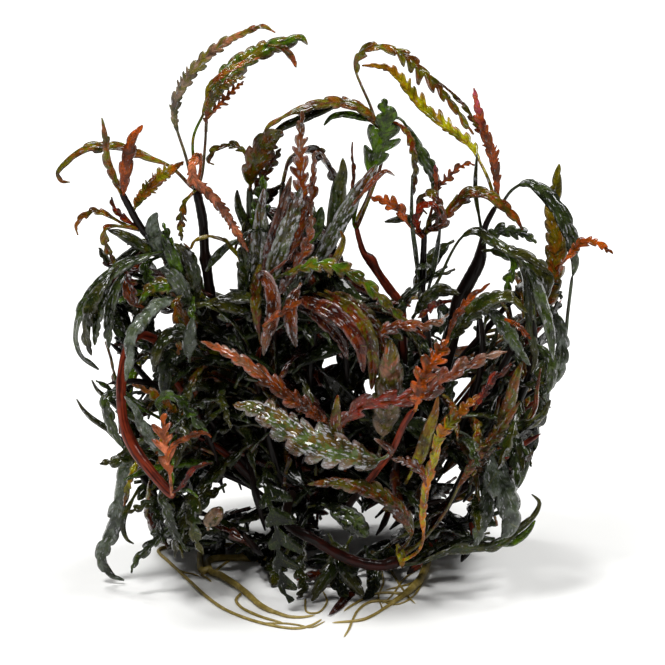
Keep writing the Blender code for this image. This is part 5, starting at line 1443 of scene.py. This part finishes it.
COLOURS = {
    # the leaves' own dark green deepened into painted shade for leaves deep inside the clump
    "shaded_black_green": ("Black green", "Leaves deep inside the clump", "#0B1104"),
    "dark_green": ("Dark green", "Blade of the old dark leaves", "#222C0C"),
    "deep_olive": ("Deep olive", "Tips of the old dark leaves", "#34300A"),
    "grey_green": ("Grey green", "Margins of the outer dark leaves", "#3C4824"),
    # a grey-green that is partly the leaves' own colour and partly painted sheen on their wet skin
    "frost": ("Frost", "Grey film on the shiny dark leaves", "#52584F"),
    # painted highlight: the grey that the glints and the rolled margins are painted with
    "painted_shine": ("Shine", "Grey shine of the wet skin", "#ABAAAE"),
    "bright_green": ("Bright green", "Blade of the fresh green leaves", "#425A14"),
    "olive": ("Olive", "Blade of the olive leaves", "#545010"),
    "yellow_olive": ("Yellow olive", "Blade of the young leaves", "#7E7A18"),
    "bronze": ("Bronze", "Blade of the brown leaves", "#5A230A"),
    "grey_brown": ("Grey brown", "Blade of the faded leaves", "#7A6452"),
    "maroon": ("Maroon", "Backs of leaves and the deepest red blades", "#300C06"),
    "red": ("Red", "Blade of the red leaves", "#701C0A"),
    "russet": ("Russet", "Margins and patches of the orange leaves", "#6C3214"),
    "orange": ("Orange", "Blade of the orange leaves", "#9E4C2A"),
    "salmon": ("Salmon", "Blade and margin of the youngest leaves", "#AE684E"),
    "pink": ("Pink", "Tip of the pink leaf", "#C05C6C"),
    "pale_vein": ("Pale vein", "Veins and pale speckles", "#76743E"),
    "stem_black": ("Black stem", "Old stems", "#0D0705"),
    "stem_brown": ("Brown stem", "Streaks on the stems", "#180A06"),
    "stem_red": ("Red stem", "Red stems and runners", "#742A16"),
    "stem_green": ("Green stem", "Grey-green stems and stalks", "#4A5140"),
    "root_olive": ("Root", "Skin of the roots", "#84702A"),
    "root_pale": ("Pale root", "Worn stretches and ends of the roots", "#AE9A58"),
    "paper": ("Floor paper", "The pale studio floor", "#F4F4F2"),
}


class ClumpColours(bpy.types.PropertyGroup):
    """Colours of the clump and of its floor."""


for colour_name, (colour_label, colour_note, colour_code) in COLOURS.items():
    ClumpColours.__annotations__[colour_name] = bpy.props.FloatVectorProperty(
        name=colour_label, description=colour_note, subtype="COLOR", size=3, min=0.0, max=1.0,
        default=linear_colour(colour_code))


class ClumpSizes(bpy.types.PropertyGroup):
    """Sizes of the clump's fine detail, in millimetres, and the strength of its light."""

    blade_thickness: bpy.props.FloatProperty(
        name="Blade thickness", description="Thickness of a blade at its middle, in mm", default=0.34,
        min=0.1, max=1.0)
    midrib: bpy.props.FloatProperty(
        name="Midrib", description="How far the midrib stands out under a blade, in mm", default=0.42,
        min=0.0, max=1.5)
    stem_share: bpy.props.FloatProperty(
        name="Stem share", description="Share of the drawn stem radius that the skin takes", default=0.85,
        min=0.3, max=1.5, subtype="FACTOR")
    pucker: bpy.props.FloatProperty(
        name="Pucker", description="How strongly blades bulge between their veins", default=1.6,
        min=0.0, max=4.0, subtype="FACTOR")
    key_power: bpy.props.FloatProperty(
        name="Key light", description="Power of the brightest light above", default=15.0,
        min=0.0, subtype="POWER", unit="POWER")
    sky: bpy.props.FloatProperty(
        name="Room light", description="Strength of the even light of the room", default=0.10,
        min=0.0, max=3.0, subtype="FACTOR")


class GrowOperator:
    """What all operators of the clump share."""

    bl_options = {"REGISTER", "UNDO"}


class CLUMP_OT_stems(GrowOperator, bpy.types.Operator):
    """Grow the stems and runners"""

    bl_idname = "clump.stems"
    bl_label = "Grow stems"

    def execute(self, context):
        sizes = context.scene.clump_sizes
        for stem in STEMS:
            chance = random.Random("stem " + stem.name)
            growth = Growth()
            route = [(*seen_place(*point[:3]), point[3] * sizes.stem_share) for point in stem.route]
            add_tube(growth, "stem_" + stem.look, route, chance)
            whole = stem.name.startswith(("runner", "stalk"))
            node = stem.name if whole else "stem_" + stem.name
            finish_piece(growth, "grown_" + node, [node], context)
        return {"FINISHED"}


class CLUMP_OT_roots(GrowOperator, bpy.types.Operator):
    """Grow the bare roots on the ground, with their side roots"""

    bl_idname = "clump.roots"
    bl_label = "Grow roots"

    def execute(self, context):
        for root in ROOTS:
            chance = random.Random("root " + root.name)
            growth = Growth()
            for each in [root] + [rootlet for rootlet in ROOTLETS if rootlet.name == root.name]:
                route = [(*ground_place(*point), point[2]) for point in each.route]
                add_tube(growth, "root", route, chance, ridges=0.08)
            finish_piece(growth, "grown_root_" + root.name, ["root_" + root.name], context)
        return {"FINISHED"}


class CLUMP_OT_left_leaves(GrowOperator, bpy.types.Operator):
    """Grow the leaves of the left side"""

    bl_idname = "clump.left_leaves"
    bl_label = "Grow left leaves"

    def execute(self, context):
        grow_leaves(LEAVES_LEFT, context)
        return {"FINISHED"}


class CLUMP_OT_centre_leaves(GrowOperator, bpy.types.Operator):
    """Grow the leaves of the middle"""

    bl_idname = "clump.centre_leaves"
    bl_label = "Grow centre leaves"

    def execute(self, context):
        grow_leaves(LEAVES_CENTRE, context)
        return {"FINISHED"}


class CLUMP_OT_right_leaves(GrowOperator, bpy.types.Operator):
    """Grow the leaves of the right side"""

    bl_idname = "clump.right_leaves"
    bl_label = "Grow right leaves"

    def execute(self, context):
        grow_leaves(LEAVES_RIGHT, context)
        return {"FINISHED"}


class CLUMP_OT_front_leaves(GrowOperator, bpy.types.Operator):
    """Grow the leaves that hang in front"""

    bl_idname = "clump.front_leaves"
    bl_label = "Grow front leaves"

    def execute(self, context):
        grow_leaves(LEAVES_FRONT, context)
        return {"FINISHED"}


class CLUMP_OT_back_leaves(GrowOperator, bpy.types.Operator):
    """Grow the leaves of the back"""

    bl_idname = "clump.back_leaves"
    bl_label = "Grow back leaves"

    def execute(self, context):
        grow_leaves(LEAVES_BACK, context)
        return {"FINISHED"}


class CLUMP_OT_small_leaves(GrowOperator, bpy.types.Operator):
    """Grow the small leaves that have no solid of their own"""

    bl_idname = "clump.small_leaves"
    bl_label = "Grow small leaves"

    def execute(self, context):
        sizes = context.scene.clump_sizes
        for group, leaves in sorted(SMALL_LEAVES.items()):
            chance = random.Random("small " + group)
            growth = Growth()
            for small in leaves:
                leaf = whole_leaf(small)
                add_leaf(growth, leaf, [seen_place(*point) for point in leaf.route], chance, sizes)
            finish_piece(growth, "small_leaves_" + group, [], context)
        return {"FINISHED"}


class CLUMP_OT_thickets(GrowOperator, bpy.types.Operator):
    """Grow the dense mass of leaves inside the clump"""

    bl_idname = "clump.thickets"
    bl_label = "Grow thickets"

    def execute(self, context):
        sizes = context.scene.clump_sizes
        for thicket in THICKETS:
            chance = random.Random(thicket.seed)
            growth = Growth()
            for _ in range(thicket.shoots):
                add_shoot(growth, thicket, chance, sizes)
            add_inner_leaves(growth, thicket, chance, sizes)
            add_fringe(growth, thicket, chance, sizes)
            node = "foliage_" + thicket.name
            finish_piece(growth, "thicket_" + thicket.name, [node], context)
        return {"FINISHED"}


class CLUMP_OT_stage(GrowOperator, bpy.types.Operator):
    """Set up the floor, the light and the camera"""

    bl_idname = "clump.stage"
    bl_label = "Set up stage"

    def execute(self, context):
        scene = context.scene
        sizes = scene.clump_sizes
        bpy.ops.mesh.primitive_grid_add(x_subdivisions=8, y_subdivisions=8, size=FLOOR_SIZE)
        floor = context.object
        floor.name = "floor"
        floor.data.materials.append(floor_paper("floor_paper", palette(context)["paper"]))
        for light in LIGHTS:
            add_light(scene, light, sizes.key_power * light.share)
        world = bpy.data.worlds.new("room")
        world.use_nodes = True
        backdrop = world.node_tree.nodes["Background"]
        backdrop.inputs["Color"].default_value = (1.0, 1.0, 1.0, 1.0)
        backdrop.inputs["Strength"].default_value = sizes.sky
        scene.world = world
        scene.view_settings.view_transform = "Standard"
        add_camera(scene)
        return {"FINISHED"}


def add_light(scene, light, power):
    """Add a square soft light that shines at the clump."""
    data = bpy.data.lights.new(light.name, "AREA")
    data.size = light.size
    data.energy = power
    lamp = bpy.data.objects.new(light.name, data)
    lamp.location = light.place
    toward = Vector(CAMERA_TARGET) - Vector(light.place)
    lamp.rotation_euler = toward.to_track_quat("-Z", "Y").to_euler()
    scene.collection.objects.link(lamp)


def add_camera(scene):
    """Add the camera at the photo's angle and make it the scene's."""
    data = bpy.data.cameras.new("photo_camera")
    data.sensor_width = CAMERA_SENSOR
    data.lens = CAMERA_LENS
    camera = bpy.data.objects.new("photo_camera", data)
    target = Vector(CAMERA_TARGET)
    camera.location = target + Vector(TOWARD_VIEWER) * CAMERA_DISTANCE
    camera.rotation_euler = (target - camera.location).to_track_quat("-Z", "Y").to_euler()
    scene.collection.objects.link(camera)
    scene.camera = camera


OPERATORS = (
    CLUMP_OT_stems, CLUMP_OT_roots, CLUMP_OT_left_leaves, CLUMP_OT_centre_leaves, CLUMP_OT_right_leaves,
    CLUMP_OT_front_leaves, CLUMP_OT_back_leaves, CLUMP_OT_small_leaves, CLUMP_OT_thickets, CLUMP_OT_stage,
)


class CLUMP_PT_panel(bpy.types.Panel):
    """Sizes, colours and steps of the clump"""

    bl_idname = "CLUMP_PT_panel"
    bl_label = "Hygrophila pinnatifida"
    bl_space_type = "VIEW_3D"
    bl_region_type = "UI"
    bl_category = "Clump"

    def draw(self, context):
        layout = self.layout
        for group in (context.scene.clump_sizes, context.scene.clump_colours):
            column = layout.column()
            for name in group.__class__.__annotations__:
                column.prop(group, name)
        steps = layout.column()
        for operator in OPERATORS:
            steps.operator(operator.bl_idname)


CLASSES = (ClumpColours, ClumpSizes, *OPERATORS, CLUMP_PT_panel)


def register():
    """Make the classes known to Blender and give the scene its settings."""
    for each in CLASSES:
        bpy.utils.register_class(each)
    bpy.types.Scene.clump_colours = bpy.props.PointerProperty(type=ClumpColours)
    bpy.types.Scene.clump_sizes = bpy.props.PointerProperty(type=ClumpSizes)


def unregister():
    """Take the settings and the classes away again."""
    del bpy.types.Scene.clump_sizes
    del bpy.types.Scene.clump_colours
    for each in reversed(CLASSES):
        bpy.utils.unregister_class(each)


def main():
    """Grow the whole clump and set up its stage."""
    register()
    for operator in OPERATORS:
        area, name = operator.bl_idname.split(".")
        getattr(getattr(bpy.ops, area), name)()


if __name__ == "__main__":
    main()
